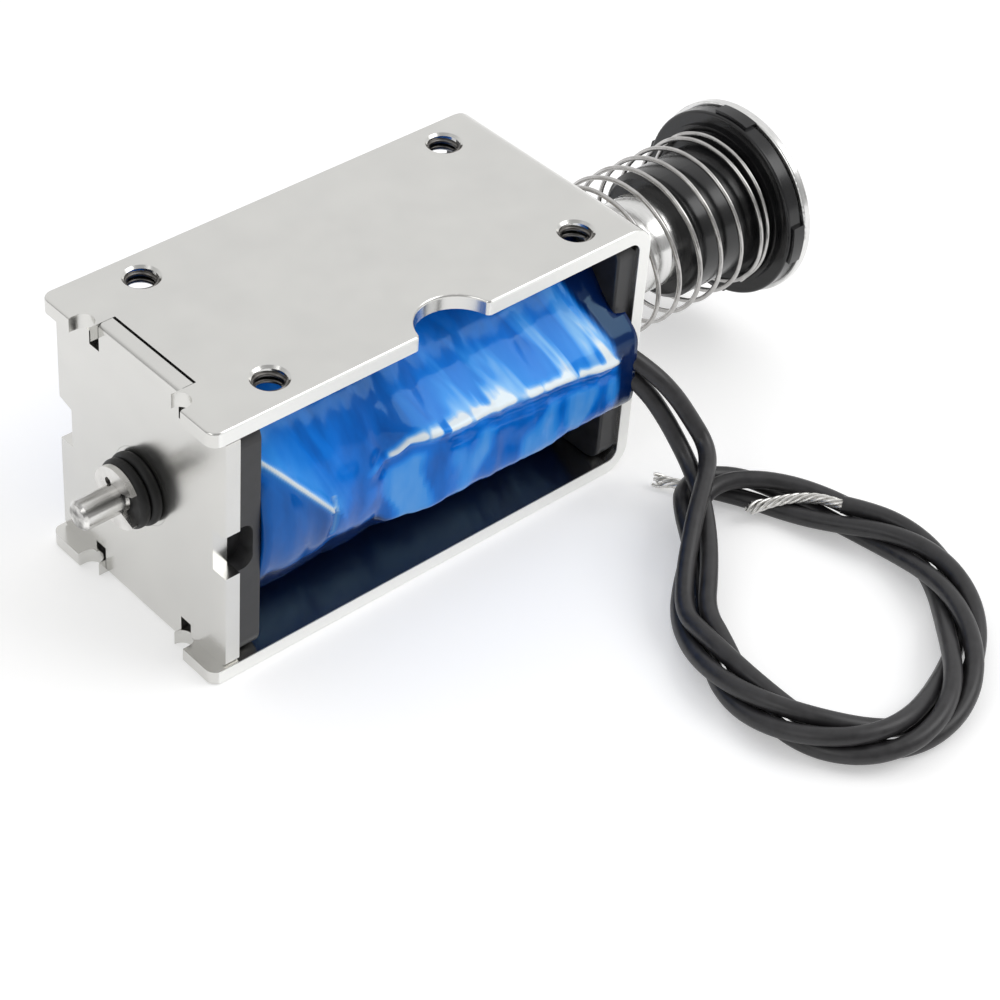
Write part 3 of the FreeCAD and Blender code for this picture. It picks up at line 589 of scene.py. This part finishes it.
print("lift on the crest:", round(lift_at(4.0, 3.5, zones_at(4.0, 3.5)), 2), "mm")

# %% [markdown]
# Light and shade are painted on the film. Painted highlights run along the crest, the crease
# and the edges of the tucked corner and over the right of the ridge, and pale patches below the
# crest are a painted reflection of the table. Painted shade makes it deep blue where its upper
# layer ends, on its underside, on the tucked corner and above the crest under the top plate.
# The places are written into the mesh as three attributes, which the blue material reads
# later: painted highlights, painted highlights that come in streaks, and depth of colour,
# which is the painted shade.

# %% Where the film gets painted highlights, painted reflection and painted shade
# How much painted reflection, painted highlight and painted shade each zone gets
PATCH_REFLECTION = 0.30
FLAP_HIGHLIGHT = 0.14
RIDGE_HIGHLIGHT = 0.16
FLAP_EDGE_HIGHLIGHT = 0.40
CREASE_HIGHLIGHT = 0.85
STREAK_HIGHLIGHT_ALL_OVER = 0.14
STREAK_HIGHLIGHT_ON_RIDGE = 0.14
STREAK_HIGHLIGHT_AT_RIGHT = 0.75
QUIET_CLEAR, FLAP_CLEAR = 0.7, 0.6
QUIET_SHADE, FLAP_SHADE = 0.22, 0.45


def look_at(along, round_coil, zone):
    """Painted highlights, streaked painted highlights and painted shade at a place, each 0 to 1."""
    near_crest = bell(max(zone.crest, 0.0), 4.6) * step(zone.crest + 0.2, 0.4) * zone.on_ridge
    right_part = step(along - 1.0, 5.0)
    painted_reflection_mask = step(wave(along, round_coil, 3.4, 5.0, 6.1) + 0.05, 0.14)
    broken = step(wave(along, 0, 1.1, 30, 2.2) + 0.22, 0.3)
    crest_highlight = bell(zone.crest - 0.1, 0.34 + 0.22 * bell(along + 1.5, 3.0))
    flap = step(-zone.crease - 0.2, 0.8) * step(FLAP_TO - along, 2.0) * zone.in_front
    quiet = bell(along + 5.0, 3.5) * step(zone.crest, 1.0)
    shown = zone.before_free * (1.0 - zone.painted_bottom_shade)
    # painted reflection in pale patches below the crest, then painted highlights along the crest, the
    # crease and the tucked corner's edge
    painted_highlights = PATCH_REFLECTION * zone.below * painted_reflection_mask * step(-zone.crest - 1.7, 0.4)
    painted_highlights += FLAP_HIGHLIGHT * bell(zone.crease - 0.6, 1.0) * step(-9.0 - along, 3.0)
    painted_highlights += RIDGE_HIGHLIGHT * near_crest * right_part
    painted_highlights += zone.on_ridge * broken * crest_highlight
    painted_highlights += FLAP_EDGE_HIGHLIGHT * bell(zone.flap_edge - 0.25, 0.18)
    painted_highlights += CREASE_HIGHLIGHT * bell(zone.crease, 0.25) * step(-10.0 - along, 2.0)
    # painted highlights in streaks, strongest near the crest at the right
    streak_highlights = STREAK_HIGHLIGHT_ALL_OVER + near_crest * (STREAK_HIGHLIGHT_ON_RIDGE + STREAK_HIGHLIGHT_AT_RIGHT * right_part)
    streak_highlights *= (1.0 - zone.below) * (1.0 - QUIET_CLEAR * quiet) * (1.0 - FLAP_CLEAR * flap)
    # painted shade: deep blue where the upper layer ends, on the underside, on the tucked corner and above
    # the crest
    depth = max(1.0 - zone.before_free, zone.painted_bottom_shade, FLAP_SHADE * flap, QUIET_SHADE * quiet)
    return min(1.0, max(0.0, painted_highlights)) * shown, streak_highlights * shown, depth


print("look on the crest:", [round(value, 2) for value in look_at(4.0, 3.5, zones_at(4.0, 3.5))])

# %% [markdown]
# Now every point of the tape is moved. At both ends of the coil the last row of points is
# turned in towards the axis, and the row before it stays at the film's height. The tape then
# closes over the ends of the winding, and no copper shows beside the moulded flanges.

# %% Move the tape's points
TURNED_IN = 12.4 * MM

looks = []
for point in tape.data.vertices:
    away = Vector((0, point.co.y, point.co.z - AXIS_HEIGHT))
    along, round_coil = place_on_tape(point.co)
    zone = zones_at(along, round_coil)
    reach = max(away.length, TAPE_RADIUS) + lift_at(along, round_coil, zone) * MM
    if point.co.x < TAPE_LOW[0] - 1.4 * INSET:
        reach = TURNED_IN
    elif abs(point.co.x - COIL_END) < 0.5 * INSET:
        point.co.x, reach = COIL_END + 3 * INSET, TURNED_IN
    elif COIL_END - 0.5 * ROW < point.co.x < COIL_END:
        point.co.x = COIL_END + 2 * INSET
    point.co = Vector((point.co.x, 0, AXIS_HEIGHT)) + away.normalized() * reach
    looks.append(look_at(along, round_coil, zone))
# the attributes hold the painted highlights, the streaked painted highlights and depth, the painted shade
for name, values in zip(("painted_highlights", "streak_highlights", "depth"), zip(*looks)):
    tape.data.attributes.new(name, "FLOAT", "POINT").data.foreach_set("value", values)
    print(name, "is", round(sum(values) / len(values), 2), "on the whole")

# %% [markdown]
# So far the tape is a skin with nothing behind it. Solidify gives it a wall on the inside, so
# its outside stays where it is, and the open tube becomes a closed piece.

# %% Give the tape a thickness
TAPE_WALL = 0.2 * MM

wall = tape.modifiers.new("wall", "SOLIDIFY")
wall.thickness = TAPE_WALL
wall.offset = -1
apply_all(tape)
bpy.ops.object.shade_smooth()
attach(tape, "housing")
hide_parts("coil_tape")
print("tape:", len(tape.data.polygons), "faces")

# %% [markdown]
# The four mounting holes are tapped for M4 screws, and the thread shows as dark rings in
# them. In the CAD they are plain bores. A thread is one small shape that climbs round an
# axis, so a triangle as high as one pitch is drawn beside the axis and a Screw modifier takes
# it round and up. The doubled points of its seam are merged and both ends are closed.

# %% One thread
PITCH = 0.7 * MM
HOLE_RADIUS = 1.65 * MM
THREAD_DEPTH = 0.30 * MM
THREAD_TURNS = 1.9
THREAD_STEPS = 60
CLIMB = PITCH * THREAD_TURNS


def make_thread():
    """One tapped thread, which climbs round the Z axis from the origin."""
    bpy.ops.object.select_all(action="DESELECT")
    bpy.ops.mesh.primitive_circle_add(vertices=3, radius=PITCH / 2, fill_type="NOTHING",
                                      location=(HOLE_RADIUS, 0, 0), rotation=(math.pi / 2, 0, 0))
    thread = bpy.context.object
    thread.name = "hole_thread_1"
    bpy.ops.object.transform_apply(location=True, rotation=True, scale=True)
    profile = ((HOLE_RADIUS, PITCH / 2), (HOLE_RADIUS, -PITCH / 2), (HOLE_RADIUS - THREAD_DEPTH, 0.0))
    for vertex, (away, up) in zip(thread.data.vertices, profile):
        vertex.co = (away, 0, up)
    screw = thread.modifiers.new("climb", "SCREW")
    screw.axis = "Z"
    screw.angle = 2 * math.pi * THREAD_TURNS
    screw.screw_offset = CLIMB
    screw.steps = THREAD_STEPS
    screw.render_steps = THREAD_STEPS
    screw.use_merge_vertices = False
    apply_all(thread)
    bpy.ops.object.mode_set(mode="EDIT")
    bpy.ops.mesh.select_all(action="SELECT")
    bpy.ops.mesh.remove_doubles(threshold=0.001 * MM)
    bpy.ops.mesh.fill_holes(sides=3)
    bpy.ops.mesh.normals_make_consistent(inside=False)
    bpy.ops.object.mode_set(mode="OBJECT")
    return thread


threads = [make_thread()]
print("thread:", len(threads[0].data.polygons), "faces, climbs", round(CLIMB / MM, 2), "mm")

# %% [markdown]
# The record says where the holes are: a rectangle of four about the mount's place. Each of
# the other three gets a copy of the first thread, with a mesh of its own.

# %% A thread in each mounting hole
THREAD_BELOW = 0.3 * MM
HOLES = frame["record"]["mounts"][0]
HALF_X = HOLES["dims"]["spacing_x_mm"] * MM / 2
HALF_Y = HOLES["dims"]["spacing_y_mm"] * MM / 2

for number in range(2, 5):
    piece = bpy.data.objects.new(f"hole_thread_{number}", threads[0].data.copy())
    bpy.context.scene.collection.objects.link(piece)
    threads.append(piece)
sides = ((-1, -1), (1, -1), (-1, 1), (1, 1))
for piece, (side_x, side_y) in zip(threads, sides):
    middle = Vector(HOLES["pos_m"]) + Vector((side_x * HALF_X, side_y * HALF_Y, -THREAD_BELOW - CLIMB))
    piece.data.transform(Matrix.Translation(middle))
    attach(piece, "housing")
    print(piece.name, "is at", in_mm(middle))

# %% [markdown]
# The object stands on a plain white table in soft light. The floor could be lit until it is
# white, but then the steel would be too bright as well. So the lamps stay at a plain level,
# and the floor adds a little light of its own to what the camera and the reflections see.

# %% Floor
FLOOR_GLOW = 0.32
FLOOR_SIDE = 6.0
FLOOR_COLOUR = (0.82, 0.82, 0.82, 1)


def new_material(name):
    """A material with an empty node tree and its output node."""
    material = bpy.data.materials.new(name)
    material.use_nodes = True
    nodes = material.node_tree.nodes
    nodes.clear()
    return material, nodes, material.node_tree.links, nodes.new("ShaderNodeOutputMaterial")


def seen_by(nodes, links):
    """1 for camera, glossy and transmission rays, 0 for light on its way to a surface."""
    path = nodes.new("ShaderNodeLightPath")
    largest = path.outputs["Is Camera Ray"]
    for ray in ("Is Glossy Ray", "Is Transmission Ray"):
        larger = nodes.new("ShaderNodeMath")
        larger.operation = "MAXIMUM"
        links.new(largest, larger.inputs[0])
        links.new(path.outputs[ray], larger.inputs[1])
        largest = larger.outputs[0]
    return largest


bpy.ops.object.select_all(action="DESELECT")
bpy.ops.mesh.primitive_plane_add(size=FLOOR_SIDE, location=(0, 0, 0))
floor = bpy.context.object
floor.name = "floor"
white_table, nodes, links, output = new_material("white_table")
matt = nodes.new("ShaderNodeBsdfDiffuse")
matt.inputs["Color"].default_value = FLOOR_COLOUR
strength = nodes.new("ShaderNodeMath")
strength.operation = "MULTIPLY"
strength.inputs[1].default_value = FLOOR_GLOW
links.new(seen_by(nodes, links), strength.inputs[0])
glow = nodes.new("ShaderNodeEmission")
links.new(strength.outputs[0], glow.inputs["Strength"])
both = nodes.new("ShaderNodeAddShader")
links.new(matt.outputs[0], both.inputs[0])
links.new(glow.outputs[0], both.inputs[1])
links.new(both.outputs[0], output.inputs["Surface"])
floor.data.materials.append(white_table)
print("floor:", FLOOR_SIDE, "m wide")

# %% [markdown]
# The world gives even light from all round, brighter from above and the back right than from
# the front left, so the steel plates differ in brightness as they do in the photograph. The
# camera sees plain white behind the object.

# %% World
BRIGHT_SIDE = (0.50, 0.60, 0.62)
FILL_FRONT = 0.46
FILL_BACK = 0.95
TURN_FROM, TURN_TO = -0.1, 0.8
WHITE = (1, 1, 1, 1)

world = bpy.data.worlds.new("studio")
bpy.context.scene.world = world
world.use_nodes = True
nodes, links = world.node_tree.nodes, world.node_tree.links
nodes.clear()
toward = nodes.new("ShaderNodeVectorMath")
toward.operation = "DOT_PRODUCT"
toward.inputs[1].default_value = BRIGHT_SIDE
links.new(nodes.new("ShaderNodeTexCoord").outputs["Generated"], toward.inputs[0])
ramp = nodes.new("ShaderNodeMapRange")
ramp.interpolation_type = "SMOOTHSTEP"
ramp.inputs["From Min"].default_value = TURN_FROM
ramp.inputs["From Max"].default_value = TURN_TO
ramp.inputs["To Min"].default_value = FILL_FRONT
ramp.inputs["To Max"].default_value = FILL_BACK
links.new(toward.outputs["Value"], ramp.inputs["Value"])
fill = nodes.new("ShaderNodeBackground")
fill.inputs["Color"].default_value = WHITE
links.new(ramp.outputs[0], fill.inputs["Strength"])
backdrop = nodes.new("ShaderNodeBackground")
backdrop.inputs["Color"].default_value = WHITE
choose = nodes.new("ShaderNodeMixShader")
links.new(nodes.new("ShaderNodeLightPath").outputs["Is Camera Ray"], choose.inputs[0])
links.new(fill.outputs[0], choose.inputs[1])
links.new(backdrop.outputs[0], choose.inputs[2])
links.new(choose.outputs[0], nodes.new("ShaderNodeOutputWorld").inputs["Surface"])
print("world:", len(nodes), "nodes")

# %% [markdown]
# Two square lamps give the soft lights on the metal and the shadow under the object: the
# stronger one stands in front at the right, the weaker one at the left. They are large for
# their distance, so the edges of the shadow are soft. Their power is low, because most of the
# light comes from the world.

# %% Lamps
AIM = Vector((0.01, -0.01, 0.01))
LAMPS = {
    # name: place, side of the square, power
    "right_box": ((0.32, -0.30, 0.45), 0.36, 1.1),
    "left_box": ((-0.50, -0.10, 0.35), 0.30, 0.5),
}

for name, (place, side, power) in LAMPS.items():
    data = bpy.data.lights.new(name, "AREA")
    data.size = side
    data.energy = power
    lamp = bpy.data.objects.new(name, data)
    bpy.context.scene.collection.objects.link(lamp)
    lamp.location = place
    lamp.rotation_euler = (AIM - Vector(place)).to_track_quat("-Z", "Y").to_euler()
    print(name, "is", round((AIM - Vector(place)).length, 2), "m away")

# %% [markdown]
# Each finish is one procedural material. Its Principled shader gets a fine noise, which makes
# the roughness and the colour a little uneven and raises the surface by some thousandths of a
# millimetre. The noise reads Object coordinates, so the pattern stays on the piece when the
# piece moves. It can be stretched, for marks that run one way, or turned before that.

# %% Helpers for the finishes
def principled(name):
    """A material with one Principled shader, and the parts needed to add to it."""
    material, nodes, links, output = new_material(name)
    shader = nodes.new("ShaderNodeBsdfPrincipled")
    links.new(shader.outputs[0], output.inputs["Surface"])
    return material, nodes, links, shader


def mapped(nodes, links, place, setting, value):
    """Places that are scaled or turned."""
    mapping = nodes.new("ShaderNodeMapping")
    mapping.inputs[setting].default_value = value
    links.new(place, mapping.inputs["Vector"])
    return mapping.outputs[0]


def noise(nodes, links, scale, detail, stretch, distortion=0.0, turn=None):
    """A noise pattern on Object coordinates, with so many lumps a metre, stretched by axis."""
    place = nodes.new("ShaderNodeTexCoord").outputs["Object"]
    if turn:
        place = mapped(nodes, links, place, "Rotation", turn)
    pattern = nodes.new("ShaderNodeTexNoise")
    pattern.inputs["Scale"].default_value = scale
    pattern.inputs["Detail"].default_value = detail
    pattern.inputs["Distortion"].default_value = distortion
    links.new(mapped(nodes, links, place, "Scale", stretch), pattern.inputs["Vector"])
    return pattern.outputs["Fac"]


def spread(nodes, links, pattern, low, high, start=0.3, end=0.7):
    """The pattern's values from start to end, spread from low to high."""
    ramp = nodes.new("ShaderNodeMapRange")
    ramp.inputs["From Min"].default_value = start
    ramp.inputs["From Max"].default_value = end
    ramp.inputs["To Min"].default_value = low
    ramp.inputs["To Max"].default_value = high
    links.new(pattern, ramp.inputs["Value"])
    return ramp.outputs[0]


def put(links, value, socket):
    """Link a socket to another one, or set it to a number or colour."""
    if isinstance(value, bpy.types.NodeSocket):
        links.new(value, socket)
    else:
        socket.default_value = value


def blended(nodes, links, kind, share, first, second):
    """A value between two, by a share from 0 to 1. Its kind is RGBA or FLOAT."""
    mix = nodes.new("ShaderNodeMix")
    mix.data_type = kind
    put(links, share, mix.inputs["Factor"])
    put(links, first, mix.inputs["A"])
    put(links, second, mix.inputs["B"])
    return mix.outputs["Result"]


def raised(nodes, links, shader, pattern, height):
    """Let the pattern raise the surface by a height in metres."""
    bump = nodes.new("ShaderNodeBump")
    bump.inputs["Distance"].default_value = height
    bump.inputs["Strength"].default_value = 1.0
    links.new(pattern, bump.inputs["Height"])
    links.new(bump.outputs[0], shader.inputs["Normal"])


# %% [markdown]
# The finishes differ in a few numbers only, so they stand in one table. The push rod's noise
# is stretched along X into long streaks, from nearly black to nearly white. The turned pieces
# have their marks round the axis, so theirs is squeezed along X.

# %% Finishes of the rigid pieces
FINISHES = {
    # name: darker and lighter colour, metal, least and most rough, lumps a metre,
    # height in mm and stretch of the noise
    "nickel_plated_sheet": (
        (0.655, 0.65, 0.63), (0.69, 0.685, 0.662), 1.0, 0.20, 0.26, 220, 0.0004, (1, 1, 1)),
    # painted shade: the threads are coloured dark for the shade inside the holes
    "thread_steel_painted_shade": (
        (0.10, 0.095, 0.09), (0.22, 0.21, 0.20), 1.0, 0.30, 0.45, 1500, 0.004, (1, 1, 1)),
    "turned_steel": (
        (0.69, 0.69, 0.68), (0.78, 0.775, 0.765), 1.0, 0.15, 0.23, 900, 0.0006, (5, 1, 1)),
    "long_streak_rod_steel": (
        (0.12, 0.118, 0.114), (0.86, 0.85, 0.83), 1.0, 0.14, 0.26, 900, 0.003, (0.06, 1, 1)),
    "spring_ring_steel": (
        (0.60, 0.59, 0.57), (0.78, 0.77, 0.75), 1.0, 0.22, 0.34, 600, 0.001, (1, 1, 1)),
    "bright_spring_wire": (
        (0.42, 0.41, 0.40), (0.58, 0.57, 0.56), 1.0, 0.14, 0.24, 800, 0.001, (1, 1, 1)),
    "black_moulding": (
        (0.018, 0.018, 0.019), (0.032, 0.032, 0.034), 0.0, 0.32, 0.46, 700, 0.006, (1, 1, 1)),
    "seat_moulding": (
        (0.004, 0.004, 0.0045), (0.008, 0.008, 0.009), 0.0, 0.17, 0.25, 500, 0.003, (1, 1, 1)),
    "bumper_rubber": (
        (0.005, 0.005, 0.005), (0.010, 0.010, 0.010), 0.0, 0.42, 0.56, 1600, 0.010, (1, 1, 1)),
    "lead_insulation_vinyl": (
        (0.014, 0.0135, 0.0145), (0.028, 0.027, 0.029), 0.0, 0.34, 0.46, 900, 0.006, (1, 1, 1)),
    "drawn_brass": (
        (0.60, 0.44, 0.18), (0.78, 0.60, 0.30), 1.0, 0.20, 0.32, 1500, 0.003, (1, 6, 6)),
    "enamelled_copper": (
        (0.50, 0.20, 0.08), (0.66, 0.30, 0.14), 1.0, 0.25, 0.38, 3000, 0.020, (8, 1, 1)),
    "tinned_strands": (
        (0.62, 0.61, 0.58), (0.82, 0.81, 0.79), 1.0, 0.24, 0.36, 3000, 0.003, (1, 1, 1)),
}
NOISE_DETAIL = 4.0
RUBBER_SHINE = 0.3


def make_finish(name, dark, light, metal, rough_low, rough_high, scale, height, stretch):
    """A finish whose colour, roughness and height follow one noise pattern."""
    material, nodes, links, shader = principled(name)
    pattern = noise(nodes, links, scale, NOISE_DETAIL, stretch)
    share = spread(nodes, links, pattern, 0, 1)
    colour = blended(nodes, links, "RGBA", share, (*dark, 1), (*light, 1))
    links.new(colour, shader.inputs["Base Color"])
    shader.inputs["Metallic"].default_value = metal
    links.new(spread(nodes, links, pattern, rough_low, rough_high), shader.inputs["Roughness"])
    raised(nodes, links, shader, pattern, height * MM)
    return material, shader


finishes, shaders = {}, {}
for name, values in FINISHES.items():
    finishes[name], shaders[name] = make_finish(name, *values)
shaders["bumper_rubber"].inputs["Specular IOR Level"].default_value = RUBBER_SHINE
print("finishes:", len(finishes))

# %% [markdown]
# The sheet's cut edges, front and back, get a painted highlight: their colour is paler than
# its faces. They are also rougher, less of a mirror. They are the places furthest from the
# middle along Y.

# %% Painted highlight and more roughness on the sheet's cut edges
CUT_EDGE = 12.88 * MM
EDGE_BLEND = 0.06 * MM
# painted highlight: a near-white colour on the cut edges, and a higher roughness
EDGE_HIGHLIGHT_AND_ROUGHNESS = (("Base Color", "RGBA", (0.93, 0.93, 0.91, 1)), ("Roughness", "FLOAT", 0.55))

sheet = shaders["nickel_plated_sheet"]
nodes, links = sheet.id_data.nodes, sheet.id_data.links
parts = nodes.new("ShaderNodeSeparateXYZ")
links.new(nodes.new("ShaderNodeTexCoord").outputs["Object"], parts.inputs[0])
off_middle = nodes.new("ShaderNodeMath")
off_middle.operation = "ABSOLUTE"
links.new(parts.outputs["Y"], off_middle.inputs[0])
share = spread(nodes, links, off_middle.outputs[0], 0, 1, CUT_EDGE, CUT_EDGE + EDGE_BLEND)
for socket_name, kind, edge_value in EDGE_HIGHLIGHT_AND_ROUGHNESS:
    before = sheet.inputs[socket_name].links[0].from_socket
    links.new(blended(nodes, links, kind, share, before, edge_value), sheet.inputs[socket_name])
print("cut edges start", round(CUT_EDGE / MM, 2), "mm from the middle")

# %% [markdown]
# A CAD piece already has material slots, and each of them gets the finish. The pieces made
# here have none yet, so the finish is added to them. The leads are black vinyl and the
# stripped ends are tinned. The threads get painted shade: their colour is much darker than the
# sheet's, for the shade inside a hole.

# %% Which piece has which finish
WORN_BY = {
    "nickel_plated_sheet": ["frame", "end_plate", "pole_piece"],
    "turned_steel": ["plunger", "cap_disc"],
    "long_streak_rod_steel": ["push_rod"],
    "spring_ring_steel": ["retaining_ring"],
    "bright_spring_wire": ["return_spring"],
    "black_moulding": ["bobbin", "joint_sleeve_1", "joint_sleeve_2"],
    "seat_moulding": ["spring_seat"],
    "bumper_rubber": ["bumper_ring_inner", "bumper_ring_outer"],
    "drawn_brass": ["guide_tube", "gap_washer"],
    "enamelled_copper": ["winding"],
}

for name, worn_by in WORN_BY.items():
    for node in worn_by:
        for slot in frame["nodes"][node].material_slots:
            slot.material = finishes[name]
for piece in (lead_1, lead_2):
    piece.data.materials.append(finishes["lead_insulation_vinyl"])
for piece in (bare_1, bare_2):
    piece.data.materials.append(finishes["tinned_strands"])
for piece in threads:
    piece.data.materials.append(finishes["thread_steel_painted_shade"])
print("CAD pieces with a finish:", sum(len(worn_by) for worn_by in WORN_BY.values()))

# %% [markdown]
# The blue film needs more than one noise. A turned and stretched noise gives slanted streaks of
# painted highlight, which show where the mesh's attribute lets them. The painted highlights, the
# streaks and a fine grain add up, and a colour ramp goes from deep blue through sky blue to white
# as their sum grows. A plain mix of blue and white would look grey in between. Last, the colour
# gets darker, painted shade, where the depth attribute says so.

# %% Painted highlights and streaks of the blue film
STREAK_SCALE, STREAK_DETAIL, STREAK_BEND = 330, 2.5, 0.6
STREAK_TURN = (0, math.radians(24), 0)
STREAK_STRETCH = (1.0, 0.16, 0.16)
STREAKS_FROM, STREAKS_TO = 0.44, 0.64
GRAIN_SCALE, GRAIN_DETAIL = 260, 3.0
GRAIN_STRETCH = (1.5, 0.5, 0.5)
GRAIN_SHARE = 0.12


def attribute(nodes, name):
    """The values of a mesh attribute."""
    reader = nodes.new("ShaderNodeAttribute")
    reader.attribute_name = name
    return reader.outputs["Fac"]


def multiply_add(nodes, links, value, factor, added):
    """The value times the factor, plus what is added."""
    result = nodes.new("ShaderNodeMath")
    result.operation = "MULTIPLY_ADD"
    for number, part in enumerate((value, factor, added)):
        put(links, part, result.inputs[number])
    return result.outputs[0]


tape_blue, nodes, links, shader = principled("blue_polyester_tape")
grain = noise(nodes, links, GRAIN_SCALE, GRAIN_DETAIL, GRAIN_STRETCH)
highlight_streak_pattern = noise(nodes, links, STREAK_SCALE, STREAK_DETAIL, STREAK_STRETCH, STREAK_BEND, STREAK_TURN)
highlight_streak_pattern = spread(nodes, links, highlight_streak_pattern, 0, 1, STREAKS_FROM, STREAKS_TO)
# painted highlights: streaks where the attribute lets them, added to the plain painted highlights
highlight_and_grain = multiply_add(nodes, links, highlight_streak_pattern, attribute(nodes, "streak_highlights"), attribute(nodes, "painted_highlights"))
highlight_and_grain = multiply_add(nodes, links, spread(nodes, links, grain, 0, 1), GRAIN_SHARE, highlight_and_grain)
print("veil:", len(nodes), "nodes")

# %% [markdown]
# The colours of the ramp were set beside the photograph, from the strong blue of the plain
# film to the white of the painted highlight on the crest. The shine is tinted blue, because
# what the film reflects comes partly from the layer under it.

# %% Colour and shine of the blue film
FILM_TO_HIGHLIGHT_COLOURS = (
    (0.0, (0.001, 0.105, 0.50, 1)),
    (0.12, (0.002, 0.19, 0.78, 1)),
    (0.32, (0.035, 0.31, 0.92, 1)),
    (0.58, (0.25, 0.56, 1.0, 1)),
    (0.90, (0.90, 0.97, 1.0, 1)),
)
PAINTED_SHADE_BLUE = (0.0005, 0.014, 0.09, 1)
FILM_TINT = (0.45, 0.80, 1.0, 1)
FILM_SHINE = 0.38
FILM_ROUGH = (0.10, 0.20)
GRAIN_HEIGHT = 0.03 * MM

# the ramp runs from the film's own blue to white, the painted highlight
film = nodes.new("ShaderNodeValToRGB")
stops = film.color_ramp.elements
stops[0].position, stops[1].position = FILM_TO_HIGHLIGHT_COLOURS[0][0], FILM_TO_HIGHLIGHT_COLOURS[-1][0]
for position, _ in FILM_TO_HIGHLIGHT_COLOURS[1:-1]:
    stops.new(position)
for stop, (_, colour) in zip(stops, FILM_TO_HIGHLIGHT_COLOURS):
    stop.color = colour
links.new(highlight_and_grain, film.inputs["Fac"])
# painted shade: the colour goes to a deep blue where the depth attribute says so
colour = blended(nodes, links, "RGBA", attribute(nodes, "depth"), film.outputs["Color"], PAINTED_SHADE_BLUE)
links.new(colour, shader.inputs["Base Color"])
links.new(spread(nodes, links, grain, *FILM_ROUGH), shader.inputs["Roughness"])
raised(nodes, links, shader, grain, GRAIN_HEIGHT)
shader.inputs["Specular IOR Level"].default_value = FILM_SHINE
shader.inputs["Specular Tint"].default_value = FILM_TINT
tape.data.materials.append(tape_blue)
print("film colours:", [round(stop.position, 2) for stop in stops])

# %% [markdown]
# The image is shown as it is rendered, with no film-like curve.

# %% Look of the image
bpy.context.scene.view_settings.view_transform = "Standard"
print("view transform:", bpy.context.scene.view_settings.view_transform)

# %% The end
bpy.context.view_layer.update()
